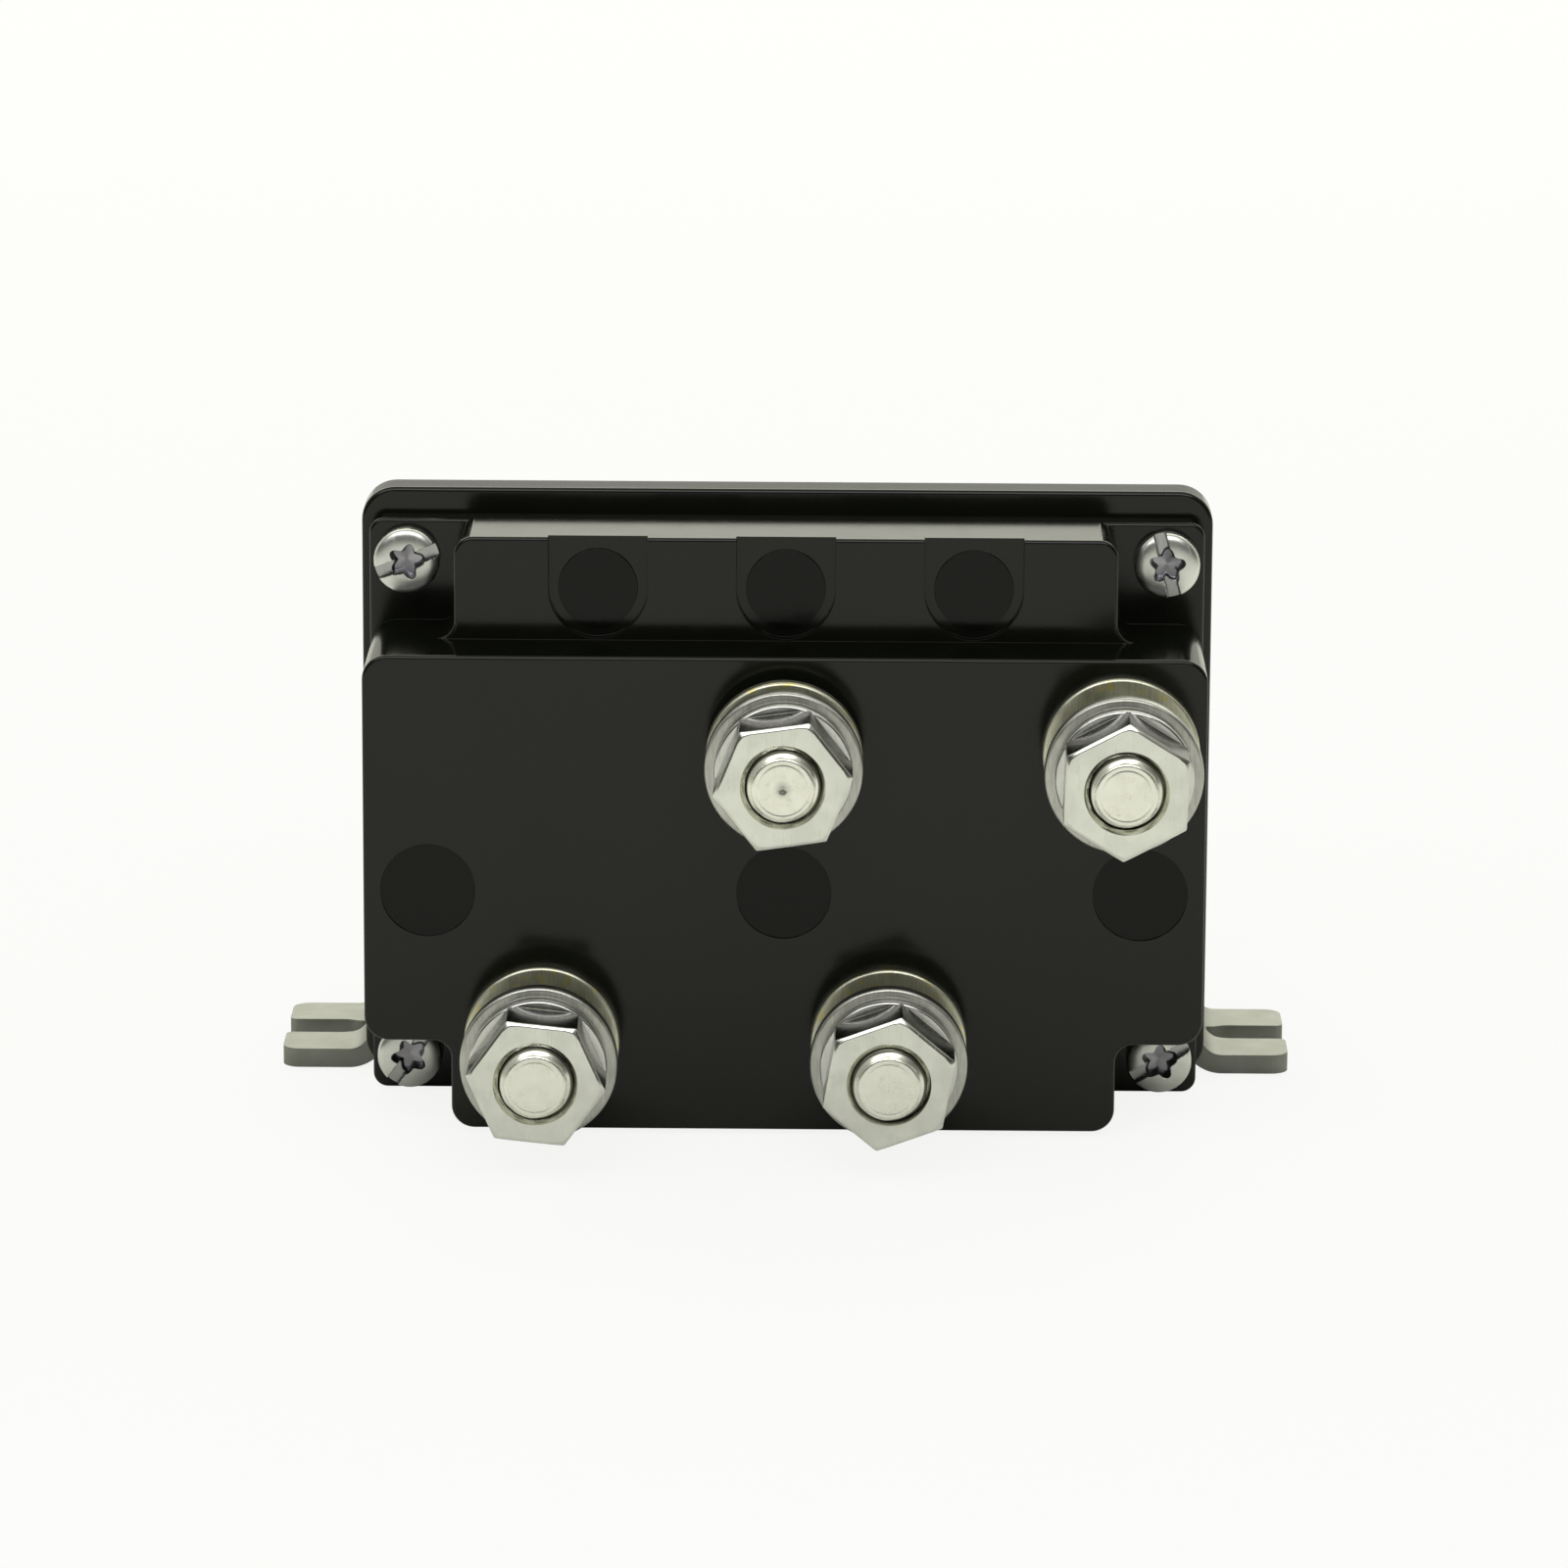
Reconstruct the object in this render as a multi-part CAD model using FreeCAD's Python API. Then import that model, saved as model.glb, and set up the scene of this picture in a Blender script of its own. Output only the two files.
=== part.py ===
"""Reversing contactor for a winch motor: two solenoids in a moulded case, four M8 terminal studs.

Millimetres. The origin is the middle of the two foot slots on the base plane. +X is to the right
when the studs face the viewer, +Y points to the back of the case, +Z is up. The studs point to -Y.
Depths are worked out from split_y, the plane where the terminal housing meets the coil cover.
"""
import math
import os

import FreeCAD
import Part

V = FreeCAD.Vector

# Terminal housing, the front moulding
flange_border = 1.0
flange_thick = 2.9
flange_corner = 1.6
block_border = 0.2
block_bottom = 10.4
block_ahead = 21.3
block_corner = 2.7
tongue_room = 5.5
tongue_bottom = 0.6
tongue_corner = 2.5
notch_corner = 2.0
step_room = 5.6
step_rise = 11.3
step_ahead = 12.75
step_corner = 2.0
housing_wall = 3.0
front_wall = 3.5
edge_round = 0.4
least_corner = 0.8

# Moulded marks on the front
recess_pitch = 20.4
recess_half = 5.4
recess_drop = 5.7
recess_depth = 1.2
recess_disc_r = 4.3
recess_disc_proud = 0.35
disc_root = 0.5
mark_r = 5.15
mark_margin = 7.0
mark_z = 27.3
mark_depth = 0.25

# Coil cover, the rear moulding
rim_lip = 2.35
rim_bottom = 1.2
rim_rise = 2.9
rim_depth = 4.8
rim_corner = 3.7
rim_edge_round = 0.5
cover_half = 44.4
cover_depth = 39.5
cover_corner = 3.0
cover_wall = 2.5
cover_headroom = 1.55
cover_back_round = 2.0
cavity_corner = 1.0
boss_r = 3.7
boss_depth = 14.0
rib_thick = 1.5
rib_depth = 6.0

# Mounting feet
toe_reach = 12.1
foot_thick = 2.15
foot_width = 19.8
foot_bend = 2.5
foot_corner = 2.0
foot_leg_top = 40.0
foot_behind_rim = 0.2
slot_width = 5.54
slot_length = 8.87
slot_mouth_round = 0.8
leg_corner = 4.0
leg_screw_z = (15.0, 31.0)

# M4 case screws and foot screws
screw_inset = 2.8
screw_low_z = 4.05
screw_drop = 4.4
screw_r = 1.95
screw_hole_r = 2.2
screw_length = 13.0
screw_head_r = 3.6
screw_head_height = 2.5
screw_crown = 1.1
screw_slot_width = 1.3
screw_cross_width = 1.0
screw_cross_half = 2.35
screw_recess_depth = 1.5
screw_pit_r = 1.5
screw_pit_floor_r = 0.6
screw_pit_depth = 0.6
cover_screw_turn = (100.0, 155.0, 60.0, 80.0)
foot_screw_turn = (300.0, 260.0)
foot_screw_length = 7.0
countersink_r = 3.6
countersink_recess = 1.0
thread_clearance = 0.05

# M8 terminal hardware
middle_stud_x = 0.0
right_stud_margin = 9.3
left_stud_margin = 9.9
lower_stud_x = 11.45
upper_stud_drop = 10.0
lower_stud_rise = 10.2
stud_reach = (18.9, 20.4, 19.5, 19.3)
nut_reach = (18.0, 19.7, 18.6, 18.0)
nut_turn = (8.0, 28.0, -6.0, 20.0)
base_washer_off = (3.0, 0.0, 0.0, 0.0)
stud_r = 4.0
stud_chamfer = 0.5
stud_head_r = 6.0
stud_head_thick = 3.0
stud_dimple_r = 0.9
stud_dimple_depth = 0.45
washer_r = 8.5
washer_hole_r = 4.2
washer_thick = 1.6
washer_bevel = 0.15
spring_washer_r = 7.4
spring_washer_thick = 2.0
spring_washer_gap = 1.3
spring_washer_lean = 30.0
spring_washer_turn = 150.0
nut_flats = 13.0
nut_height = 6.5
nut_countersink = 0.45
nut_bevel_inset = 0.2
nut_bevel_angle = 30.0
press_clearance = 0.025

# Bars and contacts in the front chamber
bar_thick = 2.0
bar_bend = 1.0
tip_r = 3.0
tip_thick = 1.0
tip_chamfer = 0.3
contact_offset = 11.5
contact_gap = 0.05
bridge_half = 14.9
bridge_width = 12.0
bridge_corner = 3.0
bridge_headroom = 1.05
stud_boss_r = 6.5
stud_boss_clearance = 1.3
bar_margin = 5.8
bar_air = 2.0
pad_margin = 1.45
web_offset = 0.8
web_clearance = 2.95
shoulder_drop = 7.3
shoulder_slope = 3.0

# Solenoids
axis_x = 20.0
axis_z = 34.35
travel = 3.0
plate_thick = 3.0
plate_gap = 0.2
rod_hole_r = 3.6
rest_gap = 0.05
yoke_thick = 3.0
yoke_width = 24.0
yoke_bend = 1.5
pole_hole_r = 6.5
pole_corner = 1.0
bobbin_r = 16.0
bobbin_clearance = 0.1
bobbin_core_r = 8.0
bobbin_flange = 1.5
winding_r = 14.8
winding_clearance = 0.05
core_r = 6.4
core_length = 6.95
core_tail_r = 4.0
plunger_r = 6.2
plunger_bevel = 0.6
spring_bore_r = 3.4
plunger_bore = 11.0
core_bore = 4.0
rod_r = 1.5
rod_grip = 6.0
bush_r = 2.6
bush_flange_r = 4.5
bush_flange = 1.0
bush_proud = 0.3
clip_r = 3.4
clip_thick = 0.8
clip_gap = 1.6
rod_end = 0.5
return_spring_r = 2.8
return_spring_wire = 0.8
return_spring_turns = 6.0
contact_spring_r = 2.45
contact_spring_wire = 0.8
contact_spring_turns = 4.0
spring_seat = 0.02

# Push-on tabs for the coils
tab_pitch = 12.0
tab_width = 6.35
tab_thick = 0.8
tab_reach = 8.0
tab_point = 1.3
tab_hole_r = 0.8
tab_shoulder = 9.0
tab_shoulder_depth = 2.0
tab_tail_width = 4.0
tab_tail_length = 5.0
tab_tail_corner = 0.5
tab_clearance = 0.1

# How far a cutter runs past the faces it opens
past = 1.0

# Half height of the yoke, which bends clear of the bobbin's flange
yoke_half = bobbin_r + bobbin_clearance + yoke_bend + yoke_thick

# Widths that follow from the cover's
rim_half = cover_half + rim_lip
flange_half = rim_half - flange_border
block_half = flange_half - block_border
screw_half_x = cover_half - screw_inset
tongue_half = screw_half_x - tongue_room
step_half = screw_half_x - step_room
foot_span_half = cover_half + toe_reach
mark_pitch = block_half - mark_margin

# Heights that follow from the solenoids', which lie on the axis
cover_top = axis_z + yoke_half + cover_headroom + cover_wall
block_top = axis_z + bridge_half + bridge_headroom + housing_wall
flange_top = block_top + step_rise
rim_top = flange_top + rim_rise
screw_high_z = flange_top - screw_drop
recess_centre_z = flange_top - recess_drop

# Studs 1 to 4: upper middle, upper right, lower left, lower middle
stud_x = (middle_stud_x, block_half - right_stud_margin, left_stud_margin - tongue_half, lower_stud_x)
stud_z = (block_top - upper_stud_drop,) * 2 + (tongue_bottom + lower_stud_rise,) * 2

# Edges of the bars, worked out from the contacts between them
bar_top = block_top - housing_wall - plate_gap
lower_pad_top = axis_z - contact_offset + tip_r + pad_margin
upper_pad_low = axis_z + contact_offset - tip_r - pad_margin

# Planes that follow from the sizes above, front to back
split_y = -(rim_depth + foot_behind_rim + foot_width / 2)
face_y = split_y - block_ahead
step_y = split_y - step_ahead
flange_y = split_y - flange_thick
chamber_y = face_y + front_wall
front_tip_y = chamber_y + bar_thick
bridge_front_y = front_tip_y + tip_thick + contact_gap
bridge_bar_y = bridge_front_y + tip_thick
bridge_rear_y = bridge_bar_y + bar_thick + tip_thick
rear_tip_y = bridge_rear_y + travel + contact_gap
rear_bar_y = rear_tip_y + tip_thick
back_y = split_y + cover_depth
inner_back_y = back_y - cover_wall
yoke_back_y = inner_back_y - yoke_thick
pole_y = split_y + plate_thick
bobbin_y = pole_y + yoke_thick
core_y = yoke_back_y - core_length
plunger_rear_y = core_y - travel - contact_gap
plunger_front_y = pole_y - bush_flange + rest_gap
foot_y = split_y + rim_depth + foot_behind_rim


def planar(axis, a, b, depth):
    """Point with in-plane coordinates a, b on the plane across axis at depth."""
    if axis == "x":
        return V(depth, a, b)
    if axis == "y":
        return V(a, depth, b)
    return V(a, b, depth)


def outline(corners, axis, depth):
    """Closed wire through corners (a, b, radius), each corner rounded by a tangent arc."""
    points = []
    count = len(corners)
    for i in range(count):
        a, b, radius = corners[i]
        here = V(a, b, 0)
        before = V(corners[i - 1][0], corners[i - 1][1], 0) - here
        after = V(corners[(i + 1) % count][0], corners[(i + 1) % count][1], 0) - here
        before.normalize()
        after.normalize()
        if radius == 0:
            points.append((here, None, here))
            continue
        half = before.getAngle(after) / 2
        reach = radius / math.tan(half)
        middle = before + after
        middle.normalize()
        crown = here + middle * (radius / math.sin(half) - radius)
        points.append((here + before * reach, crown, here + after * reach))
    edges = []
    for i in range(count):
        start, crown, end = points[i]
        following = points[(i + 1) % count][0]
        if crown is not None:
            arc = [planar(axis, p.x, p.y, depth) for p in (start, crown, end)]
            edges.append(Part.Arc(*arc).toShape())
        if end.distanceToPoint(following) > 1e-6:
            line = [planar(axis, p.x, p.y, depth) for p in (end, following)]
            edges.append(Part.LineSegment(*line).toShape())
    return Part.Wire(edges)


def slab(corners, axis, start, end):
    """Solid between the planes start and end across axis, with the outline of corners."""
    face = Part.Face(outline(corners, axis, start))
    return face.extrude(planar(axis, 0, 0, end) - planar(axis, 0, 0, start))


def rectangle(a0, a1, b0, b1, radius=0.0):
    """Corners of a rectangle, each with the same radius."""
    return [(a0, b0, radius), (a1, b0, radius), (a1, b1, radius), (a0, b1, radius)]


def rod(x, z, start, end, radius):
    """Round bar along Y from start to end."""
    return Part.makeCylinder(radius, end - start, V(x, start, z), V(0, 1, 0))


def turned(x, z, profile):
    """Solid of revolution about the Y line through x, z; profile holds (radius, y) points."""
    points = [V(x + r, y, z) for r, y in profile]
    face = Part.Face(Part.makePolygon(points + [points[0]]))
    return face.revolve(V(x, 0, z), V(0, 1, 0), 360)


def coil(x, z, start, end, radius, wire, turns):
    """Round-wire helix along Y whose wire just reaches the planes start and end."""
    length = end - start - wire
    path = Part.makeHelix(length / turns, length, radius)
    section = Part.Wire(Part.makeCircle(wire / 2, V(radius, 0, 0), V(0, 1, 0)))
    spring = Part.Wire(path).makePipeShell([section], True, True)
    spring.rotate(V(0, 0, 0), V(1, 0, 0), -90)
    spring.translate(V(x, start + wire / 2, z))
    return spring


def rounded_edges(shape, y, radius):
    """Round every edge of shape that lies in the plane across Y at y."""
    edges = [e for e in shape.Edges if abs(e.BoundBox.YMin - y) < 1e-4 and abs(e.BoundBox.YMax - y) < 1e-4]
    return shape.makeFillet(radius, edges)


def save(node, shape):
    """Write one node as its own STEP file."""
    shape.exportStep("parts/%s.step" % node)


def block_outline(inset):
    """Wide block with a narrower tongue below, moved in by inset on every side."""
    wide = block_half - inset
    narrow = tongue_half - inset
    top = block_top - inset
    notch = block_bottom + inset
    low = tongue_bottom + inset
    corner = max(block_corner - inset, least_corner)
    foot = max(tongue_corner - inset, least_corner)
    inner = notch_corner + inset
    return [
        (-narrow, low, foot), (narrow, low, foot), (narrow, notch, inner),
        (wide, notch, corner), (wide, top, corner), (-wide, top, corner),
        (-wide, notch, corner), (-narrow, notch, inner),
    ]


def step_outline():
    """Upper step, flaring by a concave radius onto the top of the block."""
    flare = step_half + step_corner
    sunk = block_top - step_corner
    return [
        (-flare, sunk, 0), (flare, sunk, 0), (flare, block_top, 0), (step_half, block_top, step_corner),
        (step_half, flange_top, step_corner), (-step_half, flange_top, step_corner),
        (-step_half, block_top, step_corner), (-flare, block_top, 0),
    ]


def case_screws():
    """Centres of the four screws that hold the housing to the cover."""
    return [(side * screw_half_x, z) for side in (-1, 1) for z in (screw_low_z, screw_high_z)]


def terminal_housing():
    block = rounded_edges(slab(block_outline(0), "y", face_y, split_y), face_y, edge_round)
    step = rounded_edges(slab(step_outline(), "y", step_y, split_y), step_y, edge_round)
    plate = rectangle(-flange_half, flange_half, 0, flange_top, flange_corner)
    flange = slab(plate, "y", flange_y, split_y)
    flange = rounded_edges(flange, flange_y, edge_round)
    body = block.fuse([step, flange]).removeSplitter()

    cuts = [slab(block_outline(housing_wall), "y", chamber_y, split_y)]
    upper = step_half - housing_wall
    cuts.append(slab(rectangle(-upper, upper, block_top - 2 * housing_wall, flange_top - housing_wall),
                     "y", step_y + housing_wall, split_y))
    recess_low = recess_centre_z - recess_half
    for i in (-1, 0, 1):
        x = i * recess_pitch
        corners = [
            (x - recess_half, recess_low, recess_half), (x + recess_half, recess_low, recess_half),
            (x + recess_half, flange_top + past, 0), (x - recess_half, flange_top + past, 0),
        ]
        cuts.append(slab(corners, "y", step_y - past, step_y + recess_depth))
        cuts.append(rod(i * mark_pitch, mark_z, face_y - past, face_y + mark_depth, mark_r))
    for x, z in case_screws():
        cuts.append(rod(x, z, flange_y - past, split_y + past, screw_hole_r))
    body = body.cut(cuts)

    added = []
    for i in (-1, 0, 1):
        floor = step_y + recess_depth
        front = floor - recess_disc_proud
        added.append(rod(i * recess_pitch, recess_centre_z, front, floor + disc_root, recess_disc_r))
    added.append(rod(stud_x[0], stud_z[0], chamber_y - disc_root, rear_bar_y, stud_boss_r))
    body = body.fuse(added)
    bores = [rod(x, z, face_y - past, split_y, stud_r + press_clearance) for x, z in zip(stud_x, stud_z)]
    return body.cut(bores)


def coil_cover():
    rim_end = split_y + rim_depth
    rim = slab(rectangle(-rim_half, rim_half, rim_bottom, rim_top, rim_corner), "y", split_y, rim_end)
    rim = rounded_edges(rounded_edges(rim, split_y, rim_edge_round), rim_end, rim_edge_round)
    corners = rectangle(-cover_half, cover_half, rim_bottom, cover_top, cover_corner)
    body = slab(corners, "y", split_y, back_y)
    body = rounded_edges(body, back_y, cover_back_round)
    inside = cover_half - cover_wall
    room = rectangle(-inside, inside, rim_bottom + cover_wall, cover_top - cover_wall, cavity_corner)
    shell = body.fuse(rim).cut(slab(room, "y", split_y, inner_back_y))

    added = []
    cuts = []
    thread_end = split_y + screw_length - flange_thick + past
    boss_end = split_y + boss_depth
    between_feet = slab(rectangle(-cover_half, cover_half, rim_bottom, rim_top), "y", split_y, boss_end)
    for x, z in case_screws():
        added.append(rod(x, z, split_y, boss_end, boss_r).common(between_feet))
        cuts.append(rod(x, z, split_y, thread_end, screw_r + thread_clearance))
    for side in (-1, 1):
        for z in leg_screw_z:
            reach = foot_screw_length - foot_thick + past
            seat = V(side * cover_half, foot_y + foot_width / 2, z)
            inward = V(-side, 0, 0)
            boss = Part.makeCylinder(boss_r, reach + past, seat, inward)
            added.append(boss.common(body))
            cuts.append(Part.makeCylinder(screw_r + thread_clearance, reach, seat, inward))
    for z in (axis_z - yoke_half, axis_z + yoke_half):
        outer = 0 if z > axis_z else -rib_thick
        low = z + outer + math.copysign(plate_gap, z - axis_z)
        rib = rectangle(-inside, inside, low, low + rib_thick)
        added.append(slab(rib, "y", inner_back_y - rib_depth, inner_back_y))
    half = tab_width / 2 + tab_clearance
    rise = tab_thick / 2 + tab_clearance
    for i in (-1, 0, 1):
        z = axis_z + i * tab_pitch
        slit = rectangle(-half, half, z - rise, z + rise)
        cuts.append(slab(slit, "y", inner_back_y - past, back_y + past))
    return shell.fuse(added).cut(cuts).removeSplitter()


def mounting_bracket(side):
    """Bent steel foot: a slotted toe on the base plane and a leg up the side of the cover."""
    outer = cover_half + foot_thick
    corners = [
        (side * cover_half, 0, foot_bend + foot_thick), (side * foot_span_half, 0, 0),
        (side * foot_span_half, foot_thick, 0), (side * outer, foot_thick, foot_bend),
        (side * outer, foot_leg_top, 0), (side * cover_half, foot_leg_top, 0),
    ]
    foot = slab(corners, "y", foot_y, foot_y + foot_width)
    toe = [e for e in foot.Edges if e.BoundBox.XLength < 1e-4 and e.BoundBox.YLength < 1e-4
           and abs(abs(e.BoundBox.XMin) - foot_span_half) < 1e-4]
    foot = foot.makeFillet(foot_corner, toe)
    heel = [e for e in foot.Edges if e.BoundBox.YLength < 1e-4
            and abs(e.BoundBox.ZMin - foot_leg_top) < 1e-4]
    foot = foot.makeFillet(leg_corner, heel)
    middle = foot_y + foot_width / 2
    inner = side * (foot_span_half - slot_length + slot_width / 2)
    mouth = side * (foot_span_half + past)
    tall = foot_thick + foot_bend + past
    sides = (middle - slot_width / 2, middle + slot_width / 2)
    slot = slab(rectangle(min(inner, mouth), max(inner, mouth), *sides), "z", -past, tall)
    end = Part.makeCylinder(slot_width / 2, tall + past, V(inner, middle, -past))
    foot = foot.cut([slot, end])
    lips = [e for e in foot.Edges if e.BoundBox.XLength < 1e-4 and e.BoundBox.YLength < 1e-4
            and abs(abs(e.BoundBox.XMin) - foot_span_half) < 1e-4
            and abs(abs(e.BoundBox.YMin - middle) - slot_width / 2) < 1e-4]
    foot = foot.makeFillet(slot_mouth_round, lips)
    sunk_r = countersink_r + thread_clearance
    inward = V(-side, 0, 0)
    for z in leg_screw_z:
        face = V(side * outer, middle, z)
        through = Part.makeCylinder(screw_hole_r, foot_thick + past, face, inward)
        sunk = Part.makeCone(sunk_r, screw_hole_r, sunk_r - screw_hole_r, face, inward)
        foot = foot.cut([through, sunk])
    return foot


def recessed(screw, top, floor, turn):
    """Cut a slot and a short cross from the plane top down to floor, and turn the screw about its axis."""
    open_y = top - past
    slot_half = screw_head_r + past
    slot_rise = screw_slot_width / 2
    cross_rise = screw_cross_width / 2
    slot = slab(rectangle(-slot_half, slot_half, -slot_rise, slot_rise), "y", open_y, floor)
    cross = slab(rectangle(-cross_rise, cross_rise, -screw_cross_half, screw_cross_half), "y", open_y, floor)
    screw = screw.cut([slot, cross])
    screw.rotate(V(0, 0, 0), V(0, 1, 0), turn)
    return screw


def pan_screw(length, turn):
    """Screw along +Y with its domed head's seat at the origin."""
    rise = screw_head_height - screw_crown
    dome = (screw_head_r ** 2 + screw_crown ** 2) / (2 * screw_crown)
    side = [V(0, length, 0), V(screw_r, length, 0), V(screw_r, 0, 0), V(screw_head_r, 0, 0),
            V(screw_head_r, -rise, 0)]
    top = V(0, -screw_head_height, 0)
    lean = math.asin(screw_head_r / dome) / 2
    crown = V(dome * math.sin(lean), dome - screw_head_height - dome * math.cos(lean), 0)
    edges = Part.makePolygon(side).Edges
    edges.append(Part.Arc(side[-1], crown, top).toShape())
    edges.append(Part.LineSegment(top, side[0]).toShape())
    solid = Part.Face(Part.Wire(edges)).revolve(V(0, 0, 0), V(0, 1, 0), 360)
    floor = screw_recess_depth - screw_head_height
    pit = turned(0, 0, [
        (0, floor - screw_pit_depth), (screw_pit_r, floor - screw_pit_depth),
        (screw_pit_floor_r, floor + screw_pit_depth), (0, floor + screw_pit_depth),
    ])
    return recessed(solid.cut(pit), -screw_head_height, floor, turn)


def countersunk_screw(length, turn):
    """Screw along +Y whose flat head lies flush with the plane through the origin."""
    solid = turned(0, 0, [
        (0, 0), (countersink_r, 0), (screw_r, countersink_r - screw_r), (screw_r, length), (0, length),
    ])
    return recessed(solid, 0, countersink_recess, turn)


def cover_screws():
    screws = []
    for (x, z), turn in zip(case_screws(), cover_screw_turn):
        screw = pan_screw(screw_length, turn)
        screw.translate(V(x, flange_y, z))
        screws.append(screw)
    return Part.makeCompound(screws)


def bracket_screws():
    screws = []
    for side in (-1, 1):
        for z, turn in zip(leg_screw_z, foot_screw_turn):
            screw = countersunk_screw(foot_screw_length, turn)
            screw.rotate(V(0, 0, 0), V(0, 0, 1), side * 90)
            screw.translate(V(side * (cover_half + foot_thick), foot_y + foot_width / 2, z))
            screws.append(screw)
    return Part.makeCompound(screws)


def terminal_stud(i):
    """Stud with a round head behind its bar; its tip is bevelled."""
    tip = face_y - stud_reach[i]
    seat = (rear_bar_y if i == 0 else chamber_y) + bar_thick
    stud = turned(stud_x[i], stud_z[i], [
        (0, tip), (stud_r - stud_chamfer, tip), (stud_r, tip + stud_chamfer), (stud_r, seat),
        (stud_head_r, seat), (stud_head_r, seat + stud_head_thick), (0, seat + stud_head_thick),
    ])
    if i == 0:
        dimple = [(0, tip), (stud_dimple_r, tip), (0, tip + stud_dimple_depth)]
        stud = stud.cut(turned(stud_x[i], stud_z[i], dimple))
    return stud


def washer(i, front):
    """Flat washer whose hole hangs on the stud's thread."""
    drop = washer_hole_r - stud_r - spring_seat
    z = stud_z[i] - drop
    disc = rod(stud_x[i], z, front, front + washer_thick, washer_r)
    rims = [e for e in disc.Edges if e.BoundBox.YLength < 1e-4]
    disc = disc.makeChamfer(washer_bevel, rims)
    return disc.cut(rod(stud_x[i], z, front - past, front + washer_thick + past, washer_hole_r))


def spring_washer(i, front):
    """Ring with a slanting split."""
    ring = rod(stud_x[i], stud_z[i], front, front + spring_washer_thick, spring_washer_r)
    through = front + spring_washer_thick + past
    ring = ring.cut(rod(stud_x[i], stud_z[i], front - past, through, washer_hole_r))
    half = spring_washer_gap / 2
    reach = spring_washer_thick + past
    split = slab(rectangle(-half, half, 0, spring_washer_r + past), "y", -reach, reach)
    split.rotate(V(0, 0, 0), V(0, 0, 1), spring_washer_lean)
    split.rotate(V(0, 0, 0), V(0, 1, 0), spring_washer_turn + nut_turn[i])
    split.translate(V(stud_x[i], front + spring_washer_thick / 2, stud_z[i]))
    return ring.cut(split)


def nut(i):
    """Hexagon nut with rounded-off corners on both faces and a countersunk thread."""
    front = face_y - nut_reach[i]
    corner_r = nut_flats / math.sqrt(3)
    corners = []
    for k in range(6):
        angle = math.radians(nut_turn[i] + 60 * k)
        corners.append((stud_x[i] + corner_r * math.cos(angle), stud_z[i] + corner_r * math.sin(angle), 0))
    hexagon = slab(corners, "y", front, front + nut_height)
    flat_r = nut_flats / 2
    face_r = flat_r - nut_bevel_inset
    slope = (corner_r - face_r) * math.tan(math.radians(nut_bevel_angle))
    bevel = turned(stud_x[i], stud_z[i], [
        (0, front), (face_r, front), (corner_r, front + slope), (corner_r, front + nut_height - slope),
        (face_r, front + nut_height), (0, front + nut_height),
    ])
    hole = stud_r + thread_clearance
    wide = hole + nut_countersink
    bore = turned(stud_x[i], stud_z[i], [
        (0, front - past), (wide, front - past), (wide, front), (hole, front + nut_countersink),
        (hole, front + nut_height - nut_countersink), (wide, front + nut_height),
        (wide, front + nut_height + past), (0, front + nut_height + past),
    ])
    return hexagon.common(bevel).cut(bore)


def terminals():
    for i in range(len(stud_x)):
        number = i + 1
        nut_front = face_y - nut_reach[i]
        spring_front = nut_front + nut_height
        save("stud_%d" % number, terminal_stud(i))
        save("base_washer_%d" % number, washer(i, face_y - base_washer_off[i] - washer_thick))
        save("nut_%d" % number, nut(i))
        save("spring_washer_%d" % number, spring_washer(i, spring_front))
        save("flat_washer_%d" % number, washer(i, spring_front + spring_washer_thick))


def bar(corners, front, i):
    """Flat copper bar with a clearance hole for stud i."""
    plate = slab(corners, "y", front, front + bar_thick)
    through = front + bar_thick + past
    return plate.cut(rod(stud_x[i], stud_z[i], front - past, through, stud_r + thread_clearance))


def supply_bar_positive():
    """Joins the rear upper contacts of both sides, with a tongue down round stud 1."""
    low = stud_z[0] - bar_margin
    pad = axis_x + bridge_width / 2
    right = stud_x[0] + bar_margin
    left = stud_x[0] - bar_margin
    return bar([
        (left, low, bar_bend), (right, low, bar_bend), (right, upper_pad_low, bar_bend),
        (pad, upper_pad_low, bar_bend), (pad, bar_top, bar_bend), (-pad, bar_top, bar_bend),
        (-pad, upper_pad_low, bar_bend), (left, upper_pad_low, bar_bend),
    ], rear_bar_y, 0)


def supply_bar_negative():
    """Runs below the boss of stud 1, then up to stud 2 on the right."""
    low = lower_pad_top + bar_air
    run = stud_z[0] - stud_boss_r - stud_boss_clearance
    near = axis_x - bridge_width / 2
    right = block_half - housing_wall - plate_gap
    left = -axis_x - bridge_width / 2
    return bar([
        (left, low, bar_bend), (right, low, bar_bend), (right, bar_top, bar_bend),
        (near, bar_top, bar_bend), (near, run, bar_bend), (-near, run, bar_bend),
        (-near, bar_top, bar_bend), (left, bar_top, bar_bend),
    ], chamber_y, 1)


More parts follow.
